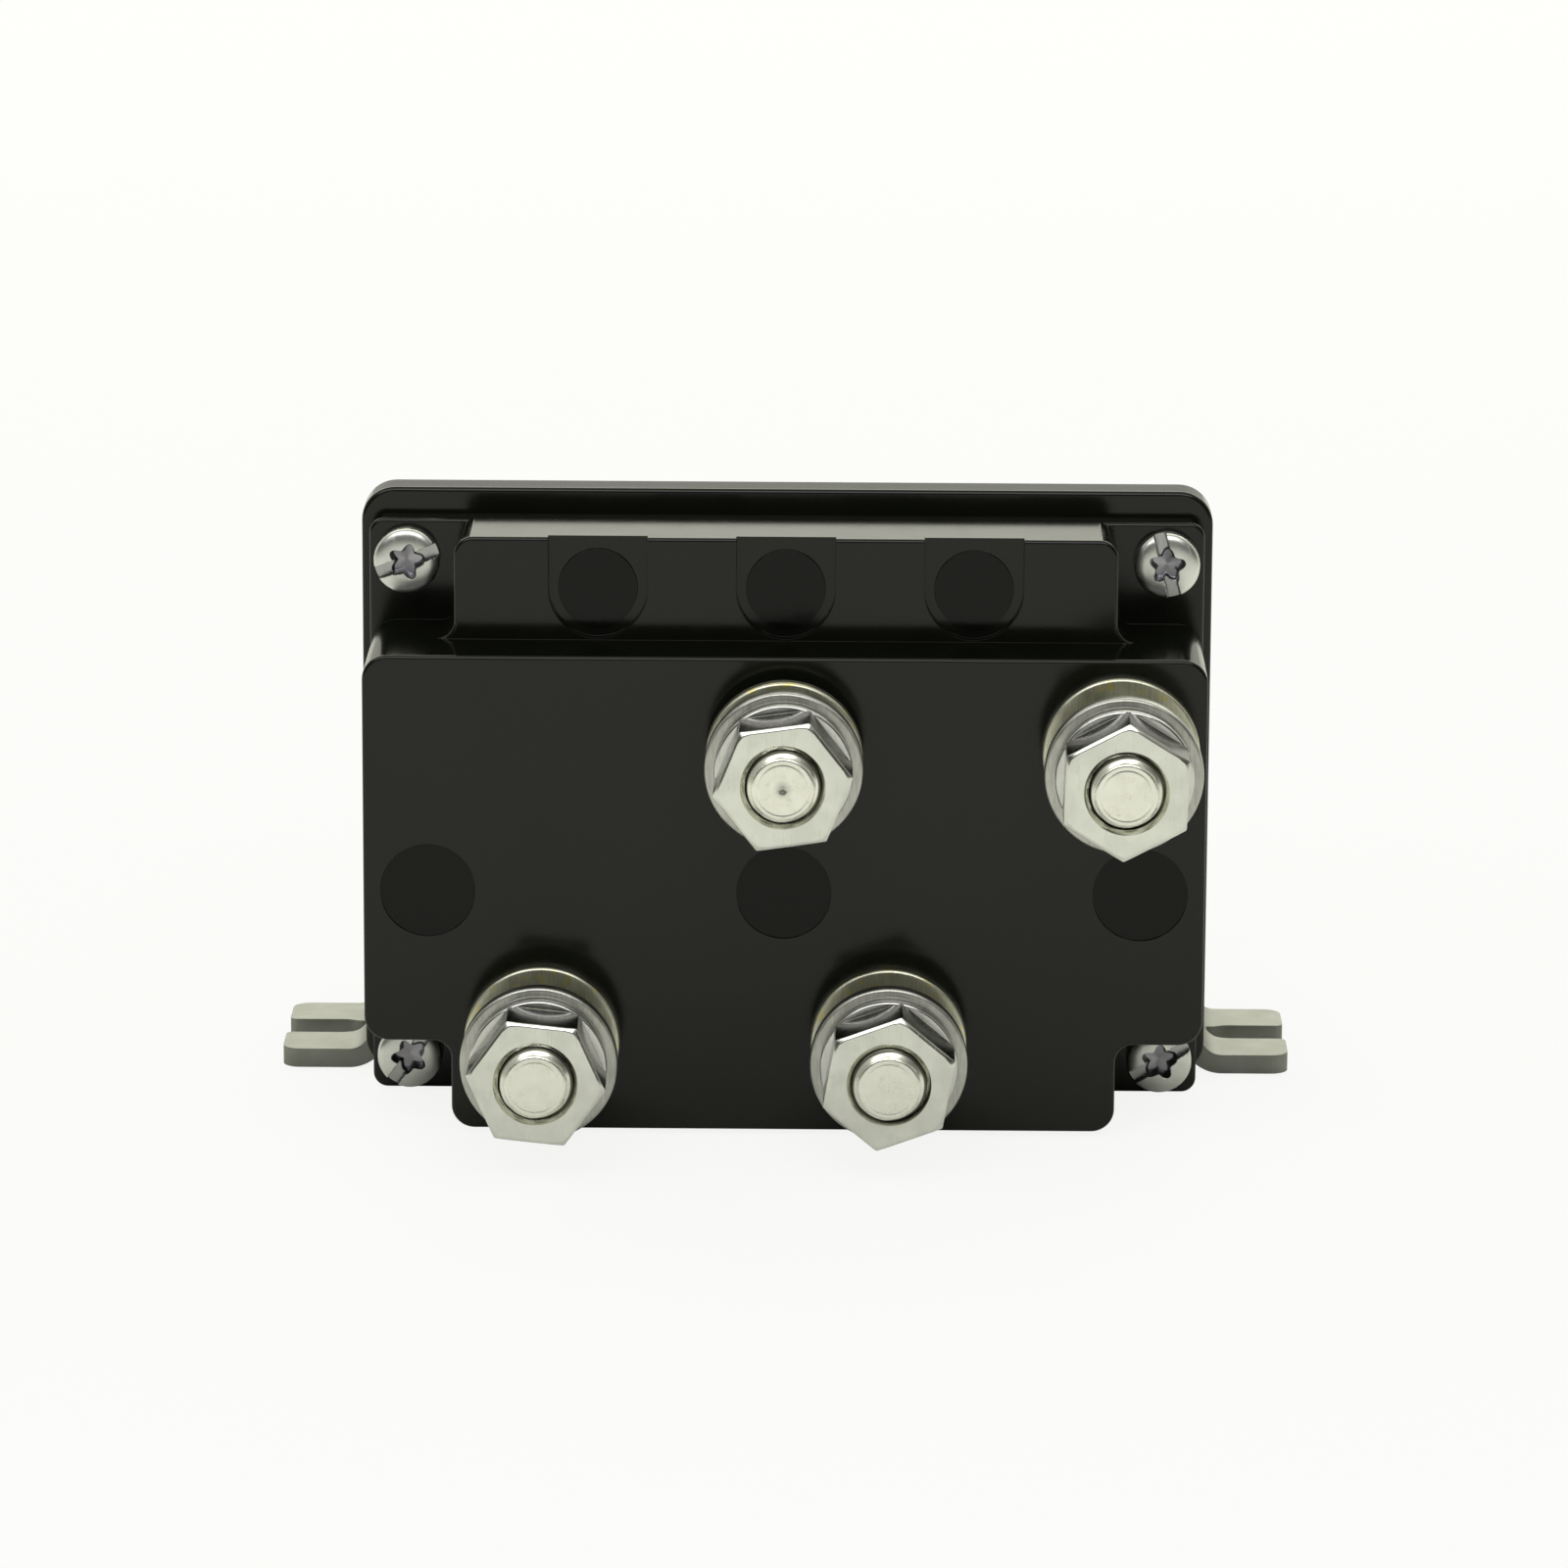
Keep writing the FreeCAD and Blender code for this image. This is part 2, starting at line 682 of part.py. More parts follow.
def motor_bar(i, side):
    """C-shaped bar: front pad on the wall, a web back below the bridge, and a rear pad facing it."""
    x = side * axis_x
    half = bridge_width / 2
    high = lower_pad_top
    web_left = x + web_offset
    web_right = x + half + web_offset
    web_low = axis_z - bridge_half - bar_thick - web_clearance
    stud_low = stud_z[i] - bar_margin
    left = stud_x[i] - bar_margin
    right = stud_x[i] + bar_margin
    front = bar([
        (left, stud_low, bar_bend), (right, stud_low, bar_bend), (right, web_low, 0),
        (web_right, web_low, 0), (web_right, high, bar_bend), (x - half, high, bar_bend),
        (x - half, high - shoulder_drop, 0),
        (left, high - shoulder_drop - shoulder_slope, 0),
    ], chamber_y, i)
    rear_end = rear_bar_y + bar_thick
    outer = bar_bend + bar_thick
    web = slab([
        (chamber_y, web_low, outer), (rear_end, web_low, outer), (rear_end, web_low + 2 * outer, 0),
        (rear_bar_y, web_low + 2 * outer, 0), (rear_bar_y, web_low + bar_thick, bar_bend),
        (front_tip_y, web_low + bar_thick, bar_bend), (front_tip_y, web_low + 2 * outer, 0),
        (chamber_y, web_low + 2 * outer, 0),
    ], "x", web_left, web_right)
    pad_low = axis_z - contact_offset - tip_r - pad_margin
    rear = slab([
        (web_left, web_low + outer, 0), (web_right, web_low + outer, 0), (web_right, high, bar_bend),
        (x - half, high, bar_bend), (x - half, pad_low, bar_bend), (web_left, pad_low, bar_bend),
    ], "y", rear_bar_y, rear_end)
    bend = slab(rectangle(web_left, web_right + past, web_low - past, web_low + outer),
                "y", chamber_y - past, front_tip_y + past)
    return front.cut(bend).fuse([web, rear]).removeSplitter()


def contact_rivet(x, z, seat, facing):
    """Silver-alloy disc on the plane seat; its contact face looks along facing and has a bevelled rim."""
    face = seat + facing * tip_thick
    return turned(x, z, [
        (0, seat), (tip_r, seat), (tip_r, face - facing * tip_chamfer), (tip_r - tip_chamfer, face),
        (0, face),
    ])


def fixed_contact_tips():
    tips = []
    for side in (-1, 1):
        for z in (axis_z - contact_offset, axis_z + contact_offset):
            tips.append(contact_rivet(side * axis_x, z, front_tip_y, 1))
            tips.append(contact_rivet(side * axis_x, z, rear_bar_y, -1))
    return Part.makeCompound(tips)


def insulating_plate():
    """Barrier that sits in the mouth of the cover, with a pocket for each plunger's nose."""
    half = cover_half - cover_wall - plate_gap
    low = rim_bottom + cover_wall + plate_gap
    high = cover_top - cover_wall - plate_gap
    plate = slab(rectangle(-half, half, low, high, cavity_corner), "y", split_y, pole_y)
    cuts = [rod(x, z, split_y - past, pole_y + past, boss_r + plate_gap) for x, z in case_screws()]
    for side in (-1, 1):
        cuts.append(rod(side * axis_x, axis_z, split_y - past, pole_y + past, rod_hole_r))
        cuts.append(rod(side * axis_x, axis_z, pole_y - bush_flange, pole_y + past, pole_hole_r))
    return plate.cut(cuts)


def yoke_frame(x):
    """Steel strap bent into a C round the coil, riveted to the fixed core at the back."""
    outer = yoke_half
    inner = yoke_half - yoke_thick
    curve = yoke_bend + yoke_thick
    strap = slab([
        (bobbin_y, axis_z - outer, 0), (inner_back_y, axis_z - outer, curve),
        (inner_back_y, axis_z + outer, curve), (bobbin_y, axis_z + outer, 0),
        (bobbin_y, axis_z + inner, 0), (yoke_back_y, axis_z + inner, yoke_bend),
        (yoke_back_y, axis_z - inner, yoke_bend), (bobbin_y, axis_z - inner, 0),
    ], "x", x - yoke_width / 2, x + yoke_width / 2)
    return strap.cut(rod(x, axis_z, yoke_back_y - past, inner_back_y + past, core_tail_r + press_clearance))


def pole_plate(x):
    half = yoke_width / 2
    corners = rectangle(x - half, x + half, axis_z - yoke_half, axis_z + yoke_half, pole_corner)
    plate = slab(corners, "y", pole_y, bobbin_y)
    return plate.cut(rod(x, axis_z, pole_y - past, bobbin_y + past, pole_hole_r))


def bobbin(x):
    inner = core_r + bobbin_clearance
    return turned(x, axis_z, [
        (inner, bobbin_y), (bobbin_r, bobbin_y), (bobbin_r, bobbin_y + bobbin_flange),
        (bobbin_core_r, bobbin_y + bobbin_flange), (bobbin_core_r, yoke_back_y - bobbin_flange),
        (bobbin_r, yoke_back_y - bobbin_flange), (bobbin_r, yoke_back_y), (inner, yoke_back_y),
    ])


def winding(x):
    inner = bobbin_core_r + winding_clearance
    start = bobbin_y + bobbin_flange + winding_clearance
    end = yoke_back_y - bobbin_flange - winding_clearance
    return turned(x, axis_z, [(inner, start), (winding_r, start), (winding_r, end), (inner, end)])


def fixed_core(x):
    bottom = core_y + core_bore
    return turned(x, axis_z, [
        (spring_bore_r, core_y), (core_r, core_y), (core_r, yoke_back_y), (core_tail_r, yoke_back_y),
        (core_tail_r, inner_back_y), (0, inner_back_y), (0, bottom), (spring_bore_r, bottom),
    ])


def plunger(x):
    bevel = plunger_bevel
    grip = rod_r + spring_seat
    bottom = plunger_rear_y - plunger_bore
    return turned(x, axis_z, [
        (grip, plunger_front_y), (plunger_r - bevel, plunger_front_y), (plunger_r, plunger_front_y + bevel),
        (plunger_r, plunger_rear_y - bevel), (plunger_r - bevel, plunger_rear_y),
        (spring_bore_r, plunger_rear_y), (spring_bore_r, bottom), (0, bottom),
        (0, plunger_front_y + rod_grip), (grip, plunger_front_y + rod_grip),
    ])


def solenoid(side, name):
    x = side * axis_x
    bridge_end = bridge_bar_y + bar_thick
    sleeve_end = bridge_bar_y - bush_proud
    spring_front = bridge_end + bush_flange
    save("yoke_frame_" + name, yoke_frame(x))
    save("pole_plate_" + name, pole_plate(x))
    save("bobbin_" + name, bobbin(x))
    save("winding_" + name, winding(x))
    save("fixed_core_" + name, fixed_core(x))
    save("plunger_" + name, plunger(x))
    save("return_spring_" + name, coil(x, axis_z, plunger_rear_y - plunger_bore, core_y + core_bore,
                                       return_spring_r, return_spring_wire, return_spring_turns))
    clip_front = sleeve_end - clip_thick
    save("push_rod_" + name, rod(x, axis_z, clip_front - rod_end, plunger_front_y + rod_grip, rod_r))
    clip = rod(x, axis_z, clip_front, sleeve_end, clip_r)
    gap = slab(rectangle(x - clip_gap / 2, x + clip_gap / 2, axis_z - clip_r - past, axis_z),
               "y", clip_front - past, sleeve_end + past)
    clip = clip.cut([rod(x, axis_z, clip_front - past, sleeve_end + past, rod_r + spring_seat), gap])
    save("retaining_clip_" + name, clip)
    bush_hole = rod_r + thread_clearance
    save("insulating_bush_" + name, turned(x, axis_z, [
        (bush_hole, sleeve_end), (bush_r, sleeve_end), (bush_r, bridge_end), (bush_flange_r, bridge_end),
        (bush_flange_r, spring_front), (bush_hole, spring_front),
    ]))
    half = bridge_width / 2
    corners = rectangle(x - half, x + half, axis_z - bridge_half, axis_z + bridge_half, bridge_corner)
    bridge = slab(corners, "y", bridge_bar_y, bridge_end)
    bridge = bridge.cut(rod(x, axis_z, bridge_bar_y - past, bridge_end + past, bush_r + thread_clearance))
    save("moving_bridge_" + name, bridge)
    tips = []
    for z in (axis_z - contact_offset, axis_z + contact_offset):
        tips.append(contact_rivet(x, z, bridge_bar_y, -1))
        tips.append(contact_rivet(x, z, bridge_end, 1))
    save("moving_contact_tips_" + name, Part.makeCompound(tips))
    save("contact_spring_" + name, coil(x, axis_z, spring_front, plunger_front_y,
                                        contact_spring_r, contact_spring_wire, contact_spring_turns))


def coil_tabs():
    """Flat tabs above each other: blade behind the cover, shoulder inside its wall, tail for the lead."""
    tabs = []
    blade = tab_width / 2
    shoulder = tab_shoulder / 2
    tail = tab_tail_width / 2
    step = inner_back_y - tab_shoulder_depth
    tip = back_y + tab_reach
    corners = [
        (-tail, step - tab_tail_length, tab_tail_corner), (tail, step - tab_tail_length, tab_tail_corner),
        (tail, step, 0), (shoulder, step, 0), (shoulder, inner_back_y, 0), (blade, inner_back_y, 0),
        (blade, tip - tab_point, 0), (blade - tab_point, tip, 0), (tab_point - blade, tip, 0),
        (-blade, tip - tab_point, 0), (-blade, inner_back_y, 0), (-shoulder, inner_back_y, 0),
        (-shoulder, step, 0), (-tail, step, 0),
    ]
    for i in (-1, 0, 1):
        low = axis_z + i * tab_pitch - tab_thick / 2
        tab = slab(corners, "z", low, low + tab_thick)
        for y in (tip - tab_reach / 2, step - tab_tail_length / 2):
            start = V(0, y, low - past)
            tab = tab.cut(Part.makeCylinder(tab_hole_r, tab_thick + 2 * past, start))
        tabs.append(tab)
    return Part.makeCompound(tabs)


os.makedirs("parts", exist_ok=True)
save("terminal_housing", terminal_housing())
save("coil_cover", coil_cover())
save("cover_screws", cover_screws())
save("mounting_bracket_left", mounting_bracket(-1))
save("mounting_bracket_right", mounting_bracket(1))
save("bracket_screws", bracket_screws())
terminals()
save("supply_bar_positive", supply_bar_positive())
save("supply_bar_negative", supply_bar_negative())
save("motor_bar_left", motor_bar(2, -1))
save("motor_bar_right", motor_bar(3, 1))
save("fixed_contact_tips", fixed_contact_tips())
save("insulating_plate", insulating_plate())
solenoid(-1, "left")
solenoid(1, "right")
save("coil_tabs", coil_tabs())
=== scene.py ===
"""Looks of a reversing contactor: a black moulded case with four threaded terminal studs.

Metres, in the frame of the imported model: +X right, +Y to the back, +Z up, the feet stand on Z 0.
Each section below holds one piece or group of like pieces: the case, then what is fixed to it, then
what it holds.
"""
import math

import bmesh
import bpy
import numpy as np
from mathutils import Matrix, Vector


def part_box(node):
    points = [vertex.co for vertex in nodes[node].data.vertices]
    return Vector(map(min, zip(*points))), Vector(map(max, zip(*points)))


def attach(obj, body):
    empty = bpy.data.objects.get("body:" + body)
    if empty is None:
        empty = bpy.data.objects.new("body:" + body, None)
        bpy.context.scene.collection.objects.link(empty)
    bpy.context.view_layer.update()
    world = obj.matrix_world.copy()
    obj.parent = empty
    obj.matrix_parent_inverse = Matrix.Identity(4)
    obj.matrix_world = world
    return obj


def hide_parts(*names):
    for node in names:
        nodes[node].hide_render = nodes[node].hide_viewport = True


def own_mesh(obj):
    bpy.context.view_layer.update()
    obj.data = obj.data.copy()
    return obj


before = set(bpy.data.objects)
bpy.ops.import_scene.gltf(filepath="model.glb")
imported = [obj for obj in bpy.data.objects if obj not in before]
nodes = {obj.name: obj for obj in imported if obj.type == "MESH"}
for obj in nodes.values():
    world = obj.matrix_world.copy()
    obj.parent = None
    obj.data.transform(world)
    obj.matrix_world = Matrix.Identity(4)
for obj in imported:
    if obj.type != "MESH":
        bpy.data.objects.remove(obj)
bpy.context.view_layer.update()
mm = 0.001

# The studio. The camera stands in front of the studs and a little above them, with a long lens.
# A pale floor, which mirrors nothing, runs under everything. One lamp hangs high behind the case and
# one high in front, and the room behind the camera is dark, which keeps the black mouldings deep.
focal_pixels = 7905.5
frame_pixels = 1600
sensor_width = 36.0
camera_pitch = math.radians(13.5)
camera_yaw = math.radians(-0.51)
camera_roll = math.radians(0.27)
camera_target = np.array((-0.22, -14.9, 34.29)) * mm
camera_distance = 857.67 * mm


class Link:
    """One value inside a finish. Arithmetic on it adds Math nodes and gives the value that results."""

    def __init__(self, finish, socket):
        self.finish = finish
        self.socket = socket

    def maths(self, operation, *terms):
        return self.finish.add("ShaderNodeMath", {"operation": operation}, dict(enumerate(terms)))

    def __add__(self, other):
        return self.maths("ADD", self, other)

    def __radd__(self, other):
        return self.maths("ADD", other, self)

    def __sub__(self, other):
        return self.maths("SUBTRACT", self, other)

    def __rsub__(self, other):
        return self.maths("SUBTRACT", other, self)

    def __mul__(self, other):
        return self.maths("MULTIPLY", self, other)

    def __rmul__(self, other):
        return self.maths("MULTIPLY", other, self)


class Finish:
    """The nodes of one material or of the world. Every node comes from add."""

    def __init__(self, owner):
        self.owner = owner
        owner.use_nodes = True
        self.tree = owner.node_tree
        self.tree.nodes.clear()

    def add(self, kind, settings=None, values=None, output=0):
        """Adds a node, sets its settings first and then the values or links of its sockets."""
        node = self.tree.nodes.new(kind)
        for name, setting in (settings or {}).items():
            if name == "stops":
                ramp = node.color_ramp.elements
                while len(ramp) < len(setting):
                    ramp.new(0.5)
                for element, (position, shade) in zip(ramp, setting):
                    element.position = position
                    element.color = (shade, shade, shade, 1.0)
            else:
                setattr(node, name, setting)
        for name, value in (values or {}).items():
            if isinstance(value, Link):
                self.tree.links.new(value.socket, node.inputs[name])
            else:
                node.inputs[name].default_value = value
        return Link(self, node.outputs[output]) if len(node.outputs) else None

    def place(self, centre=(0, 0, 0), stretch=(1, 1, 1), turn=(0, 0, 0)):
        """Object coordinates, moved so that centre is their origin, then turned and stretched."""
        here = self.add("ShaderNodeTexCoord", output="Object")
        moved = self.add("ShaderNodeVectorMath", {"operation": "SUBTRACT"}, {0: here, 1: centre})
        return self.add("ShaderNodeMapping", None, {"Vector": moved, "Rotation": turn, "Scale": stretch})

    def noise(self, size, detail=2.0, place=None):
        """Fractal noise between 0 and 1 whose lumps are about size metres wide."""
        values = {"Vector": place or self.place(), "Scale": 1 / size, "Detail": detail}
        return self.add("ShaderNodeTexNoise", None, values)

    def rings(self, centre, values):
        """Waves in rings round the Y line through centre, with the given values of the wave texture."""
        settings = {"wave_type": "RINGS", "rings_direction": "Y"}
        where = self.place(centre=(centre[0], 0, centre[1]))
        return self.add("ShaderNodeTexWave", settings, {"Vector": where, **values})

    def steps(self, value, *stops):
        """Grey ramp through the given (position, shade) stops."""
        return self.add("ShaderNodeValToRGB", {"stops": stops}, {"Fac": value})

    def mixed(self, mask, first, second):
        """Colour first where mask is 0 and second where it is 1."""
        values = {0: mask, 6: first, 7: second}
        return self.add("ShaderNodeMix", {"data_type": "RGBA"}, values, output=2)

    def bump(self, height, depth, normal=None):
        """Normal of a surface whose height runs from 0 to depth metres."""
        values = {"Height": height, "Distance": depth, "Strength": 1.0}
        if normal:
            values["Normal"] = normal
        return self.add("ShaderNodeBump", None, values)

    def surface(self, values):
        """Ends the material with one Principled shader."""
        shader = self.add("ShaderNodeBsdfPrincipled", None, values)
        self.add("ShaderNodeOutputMaterial", None, {"Surface": shader})
        return self.owner


def colour(red, green, blue):
    """Opaque colour of three linear values."""
    return (red, green, blue, 1.0)


def material(name):
    """Finish of a new material, without any nodes yet."""
    return Finish(bpy.data.materials.new(name))


def seen_directly(finish, shares):
    """The matching one of shares for a camera, glossy or transmission ray, and 0 for any other ray."""
    kinds = ("Is Camera Ray", "Is Glossy Ray", "Is Transmission Ray")
    straight, glossy, through = [finish.add("ShaderNodeLightPath", output=kind) for kind in kinds]
    return straight * shares[0] + glossy * shares[1] + through * shares[2]


along_floor = math.cos(camera_pitch)
drop = math.sin(camera_pitch)
ahead = np.array((math.sin(camera_yaw) * along_floor, math.cos(camera_yaw) * along_floor, -drop))
level = np.array((math.cos(camera_yaw), -math.sin(camera_yaw), 0.0))
upright = np.cross(level, ahead)
right = math.cos(camera_roll) * level + math.sin(camera_roll) * upright
above = -math.sin(camera_roll) * level + math.cos(camera_roll) * upright
camera = bpy.data.objects.new("camera", bpy.data.cameras.new("camera"))
camera.data.sensor_width = sensor_width
camera.data.lens = focal_pixels / frame_pixels * sensor_width
camera.data.clip_start = 0.01
stance = np.eye(4)
stance[:3, :3] = np.column_stack((right, above, -ahead))
stance[:3, 3] = camera_target - ahead * camera_distance
camera.matrix_world = Matrix(stance.tolist())
bpy.context.collection.objects.link(camera)
bpy.context.scene.camera = camera

floor_half = 6.0
floor_mesh = bpy.data.meshes.new("floor")
outline = [(floor_half * x, floor_half * y, 0) for x, y in ((-1, -1), (1, -1), (1, 1), (-1, 1))]
floor_mesh.from_pydata(outline, [], [(0, 1, 2, 3)])
floor = bpy.data.objects.new("floor", floor_mesh)
bpy.context.collection.objects.link(floor)

paper = material("floor_paper")
lit = paper.add("ShaderNodeBsdfDiffuse", None, {"Color": colour(0.8, 0.805, 0.745)})
white = paper.add("ShaderNodeEmission", None, {"Color": colour(1.0, 1.0, 0.99), "Strength": 1.0})
seen = seen_directly(paper, (0.88, 0.0, 0.88))
sheet = paper.add("ShaderNodeMixShader", None, {0: seen, 1: lit, 2: white})
paper.add("ShaderNodeOutputMaterial", None, {"Surface": sheet})
floor_mesh.materials.append(paper.owner)

world = bpy.data.worlds.new("studio")
bpy.context.scene.world = world
room = Finish(world)
direction = room.add("ShaderNodeTexCoord", output="Generated")
forward = room.add("ShaderNodeSeparateXYZ", None, {"Vector": direction}, output=1)
upward = room.add("ShaderNodeSeparateXYZ", None, {"Vector": direction}, output=2)

# What is mirrored: 0.6 behind the case, 0.06 in front of it, and up to 0.46 overhead in front.
in_front = room.steps(0.5 - 0.5 * forward, (0.42, 0.0), (0.7, 1.0))
overhead = room.steps(0.5 + 0.5 * upward, (0.7, 0.0), (0.95, 0.4))
dusk = 0.6 - 0.54 * in_front + overhead * in_front
dim = room.add("ShaderNodeBackground", None, {"Color": colour(1.0, 1.0, 0.97), "Strength": 0.5})
bright = room.add("ShaderNodeBackground", None, {"Color": colour(1.0, 1.0, 0.98), "Strength": 1.0})
mirrored = room.add("ShaderNodeBackground", None, {"Color": colour(1.0, 1.0, 0.88), "Strength": dusk})
seen = seen_directly(room, (1.0, 0.0, 1.0))
air = room.add("ShaderNodeMixShader", None, {0: seen, 1: dim, 2: bright})
reflected = seen_directly(room, (0.0, 1.0, 0.0))
air = room.add("ShaderNodeMixShader", None, {0: reflected, 1: air, 2: mirrored})
room.add("ShaderNodeOutputWorld", None, {"Surface": air})


def softbox(name, place, aim, width, height, brightness, tint):
    """Rectangular lamp whose face looks as bright as brightness times tint."""
    data = bpy.data.lights.new(name, "AREA")
    data.shape = "RECTANGLE"
    data.size = width
    data.size_y = height
    data.energy = brightness * math.pi * width * height
    data.color = tint
    lamp = bpy.data.objects.new(name, data)
    lamp.location = place
    beam = Vector(aim) - Vector(place)
    lamp.rotation_mode = "QUATERNION"
    lamp.rotation_quaternion = beam.to_track_quat("-Z", "Y")
    bpy.context.collection.objects.link(lamp)


middle = (0.0, 0.0, 0.03)
softbox("front_softbox", (-0.1, -0.75, 0.88), middle, 1.3, 0.6, 2.3, (1.0, 1.0, 1.0))
softbox("rear_softbox", (0.0, 1.1, 0.78), middle, 1.9, 0.75, 2.25, (1.0, 1.0, 0.86))

bpy.context.scene.view_settings.view_transform = "Standard"

# The coil cover and the terminal housing, the rear and the front moulding of the case. Both are
# black phenolic with a semi-gloss face from a polished mould, and screwed together at the corners.
# Their solids are right as they are; the copies below get the small radii of a moulded edge.
mould_edge = 0.26 * mm
merge_reach = 0.001 * mm
flat_angle = math.radians(0.5)
ledge_draft = math.tan(math.radians(9))
ledge_low = 60 * mm
crease_angle = math.radians(32)


def moulded_black():
    """Phenolic moulding: near black with a trace of olive, fine grain and faint flow marks."""
    finish = material("moulded_black")
    broad = finish.noise(14 * mm, 2.0)
    flow = finish.noise(3 * mm, 3.0, finish.place(stretch=(1, 1, 0.25)))
    grain = finish.noise(0.25 * mm, 3.0)
    mask = broad * 0.6 + flow * 0.4
    tone = finish.mixed(mask, colour(0.0028, 0.0036, 0.002), colour(0.0055, 0.0065, 0.004))
    rough = 0.09 + 0.06 * flow + 0.03 * grain
    relief = finish.bump(broad, 0.012 * mm)
    relief = finish.bump(grain, 0.0015 * mm, relief)
    return finish.surface({"Base Color": tone, "Roughness": rough, "Normal": relief, "IOR": 1.41})


def drafted_top():
    """The moulding's narrow top ledges. They fall towards the front by the draft of the mould, which the
    height, rising with Y, gives to their normal; they are also less polished than the face."""
    finish = material("drafted_ledge")
    flow = finish.noise(3 * mm, 3.0, finish.place(stretch=(1, 1, 0.25)))
    tone = finish.mixed(flow, colour(0.004, 0.0045, 0.003), colour(0.008, 0.0085, 0.006))
    depth = finish.add("ShaderNodeSeparateXYZ", None, {"Vector": finish.place()}, output=1)
    rough = 0.2 + 0.08 * flow
    relief = finish.bump(depth, ledge_draft)
    return finish.surface({"Base Color": tone, "Roughness": rough, "Normal": relief, "IOR": 1.39})


def pin_mark():
    """Print of a turned ejector pin: darker and glossier than the face, and faintly clouded."""
    finish = material("ejector_mark")
    cloud = finish.noise(2 * mm, 3.0)
    tone = finish.mixed(cloud, colour(0.001, 0.0012, 0.0008), colour(0.003, 0.0036, 0.0022))
    rough = 0.07 + 0.08 * cloud
    relief = finish.bump(cloud, 0.01 * mm)
    return finish.surface({"Base Color": tone, "Roughness": rough, "Normal": relief, "IOR": 1.31})


def edged(node, radius, finish):
    """Copy of a node with its triangles merged, its flat faces joined and its sharp edges rounded."""
    shape = bmesh.new()
    shape.from_mesh(nodes[node].data)
    bmesh.ops.remove_doubles(shape, verts=shape.verts, dist=merge_reach)
    bmesh.ops.dissolve_limit(shape, angle_limit=flat_angle, verts=shape.verts, edges=shape.edges)
    mesh = bpy.data.meshes.new(node + "_edged")
    shape.to_mesh(mesh)
    shape.free()
    mesh.shade_smooth()
    mesh.set_sharp_from_angle(angle=crease_angle)
    mesh.materials.clear()
    mesh.materials.append(finish)
    piece = bpy.data.objects.new(node + "_edged", mesh)
    bpy.context.collection.objects.link(piece)
    rounding = piece.modifiers.new("moulded_edge", "BEVEL")
    rounding.width = radius
    rounding.segments = 3
    rounding.limit_method = "ANGLE"
    rounding.angle_limit = crease_angle
    evened = piece.modifiers.new("flat_faces", "WEIGHTED_NORMAL")
    evened.keep_sharp = True
    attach(piece, "case")
    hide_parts(node)
    return piece


black = moulded_black()
edged("coil_cover", mould_edge, black)
housing = edged("terminal_housing", mould_edge, black)

# The ejector pins of the mould left three round marks on the front face and three in its recesses. Each
# is given by the X and Z of its middle and its radius. A front face of the moulding that lies inside
# one, give or take pin_margin, gets its finish.
pin_marks = [(x * mm, 27.3 * mm, 5.2 * mm) for x in (-38.55, 0.0, 38.55)]
pin_marks += [(x * mm, 58.9 * mm, 4.35 * mm) for x in (-20.4, 0.0, 20.4)]
pin_margin = 0.15 * mm
square_on = 0.99
housing.data.materials.append(pin_mark())
housing.data.materials.append(drafted_top())
for face in housing.data.polygons:
    corners = [housing.data.vertices[index].co for index in face.vertices]
    for x, z, radius in pin_marks:
        reach = max(math.hypot(corner.x - x, corner.z - z) for corner in corners)
        if face.normal.y < -square_on and reach < radius + pin_margin:
            face.material_index = 1
    if face.normal.z > square_on and face.center.z > ledge_low:
        face.material_index = 2

# The mounting feet: steel strip 2.15 mm thick, bent and slotted in a press, then zinc plated. The
# plate has lost its shine, and shows the strip's rolling lines along the foot.
foot_edge = 0.45 * mm


def satin_plate():
    """Satin zinc: pale grey with a green trace, cloudy, drawn out along the strip's rolling direction."""
    finish = material("foot_plate")
    cloud = finish.noise(3.5 * mm, 3.0)
    rolled = finish.noise(0.5 * mm, 3.0, finish.place(stretch=(0.12, 1, 0.12)))
    speck = finish.noise(0.35 * mm, 2.0)
    clouded = finish.steps(cloud, (0.3, 0.0), (0.7, 1.0))
    tone = finish.mixed(clouded, colour(0.26, 0.265, 0.235), colour(0.32, 0.325, 0.3))
    specked = finish.steps(speck, (0.66, 0.0), (0.74, 0.45))
    tone = finish.mixed(specked, tone, colour(0.26, 0.26, 0.2))
    rough = 0.38 + 0.12 * rolled + 0.06 * cloud
    relief = finish.bump(rolled, 0.006 * mm)
    relief = finish.bump(speck, 0.004 * mm, relief)
    return finish.surface({"Base Color": tone, "Roughness": rough, "Metallic": 1.0, "Normal": relief})


plate = satin_plate()
for side in ("left", "right"):
    edged("mounting_bracket_" + side, foot_edge, plate)

# The four terminal studs: M8 bolts with a rolled thread and a round head that bears on the bar
# behind the front wall. They are tinned, and their tips were faced in a lathe, which left a shallow
# ring; the first stud also has the centre mark of the lathe.
thread_pitch = 1.25 * mm
thread_root = 3.3 * mm
thread_crest = 4.0 * mm
threaded_length = 24 * mm
thread_runout = 0.3 * mm
shank_radius = 3.98 * mm
thread_steepness = 1.25
thread_flat = 0.125
rows_in_pitch = 12
stud_columns = 72
tip_chamfer = 0.62 * mm
tip_rounding = 0.3 * mm
tip_ring = 2.75 * mm
tip_ring_width = 0.08 * mm
tip_ring_depth = 0.025 * mm
centre_mark_radius = 0.55 * mm
centre_mark_depth = 0.2 * mm
# Where the studs' painted shade begins and where it is full, as distances from the axis, and their unit.
painted_shade_from = 3.7 * mm
painted_shade_to = 3.8 * mm
painted_shade_span = 10 * mm
stud_head_radius = 6.0 * mm
stud_head_thick = 3.0 * mm
stud_head_middle = 0.5 * mm
head_edge = 0.3 * mm
stud_numbers = (1, 2, 3, 4)


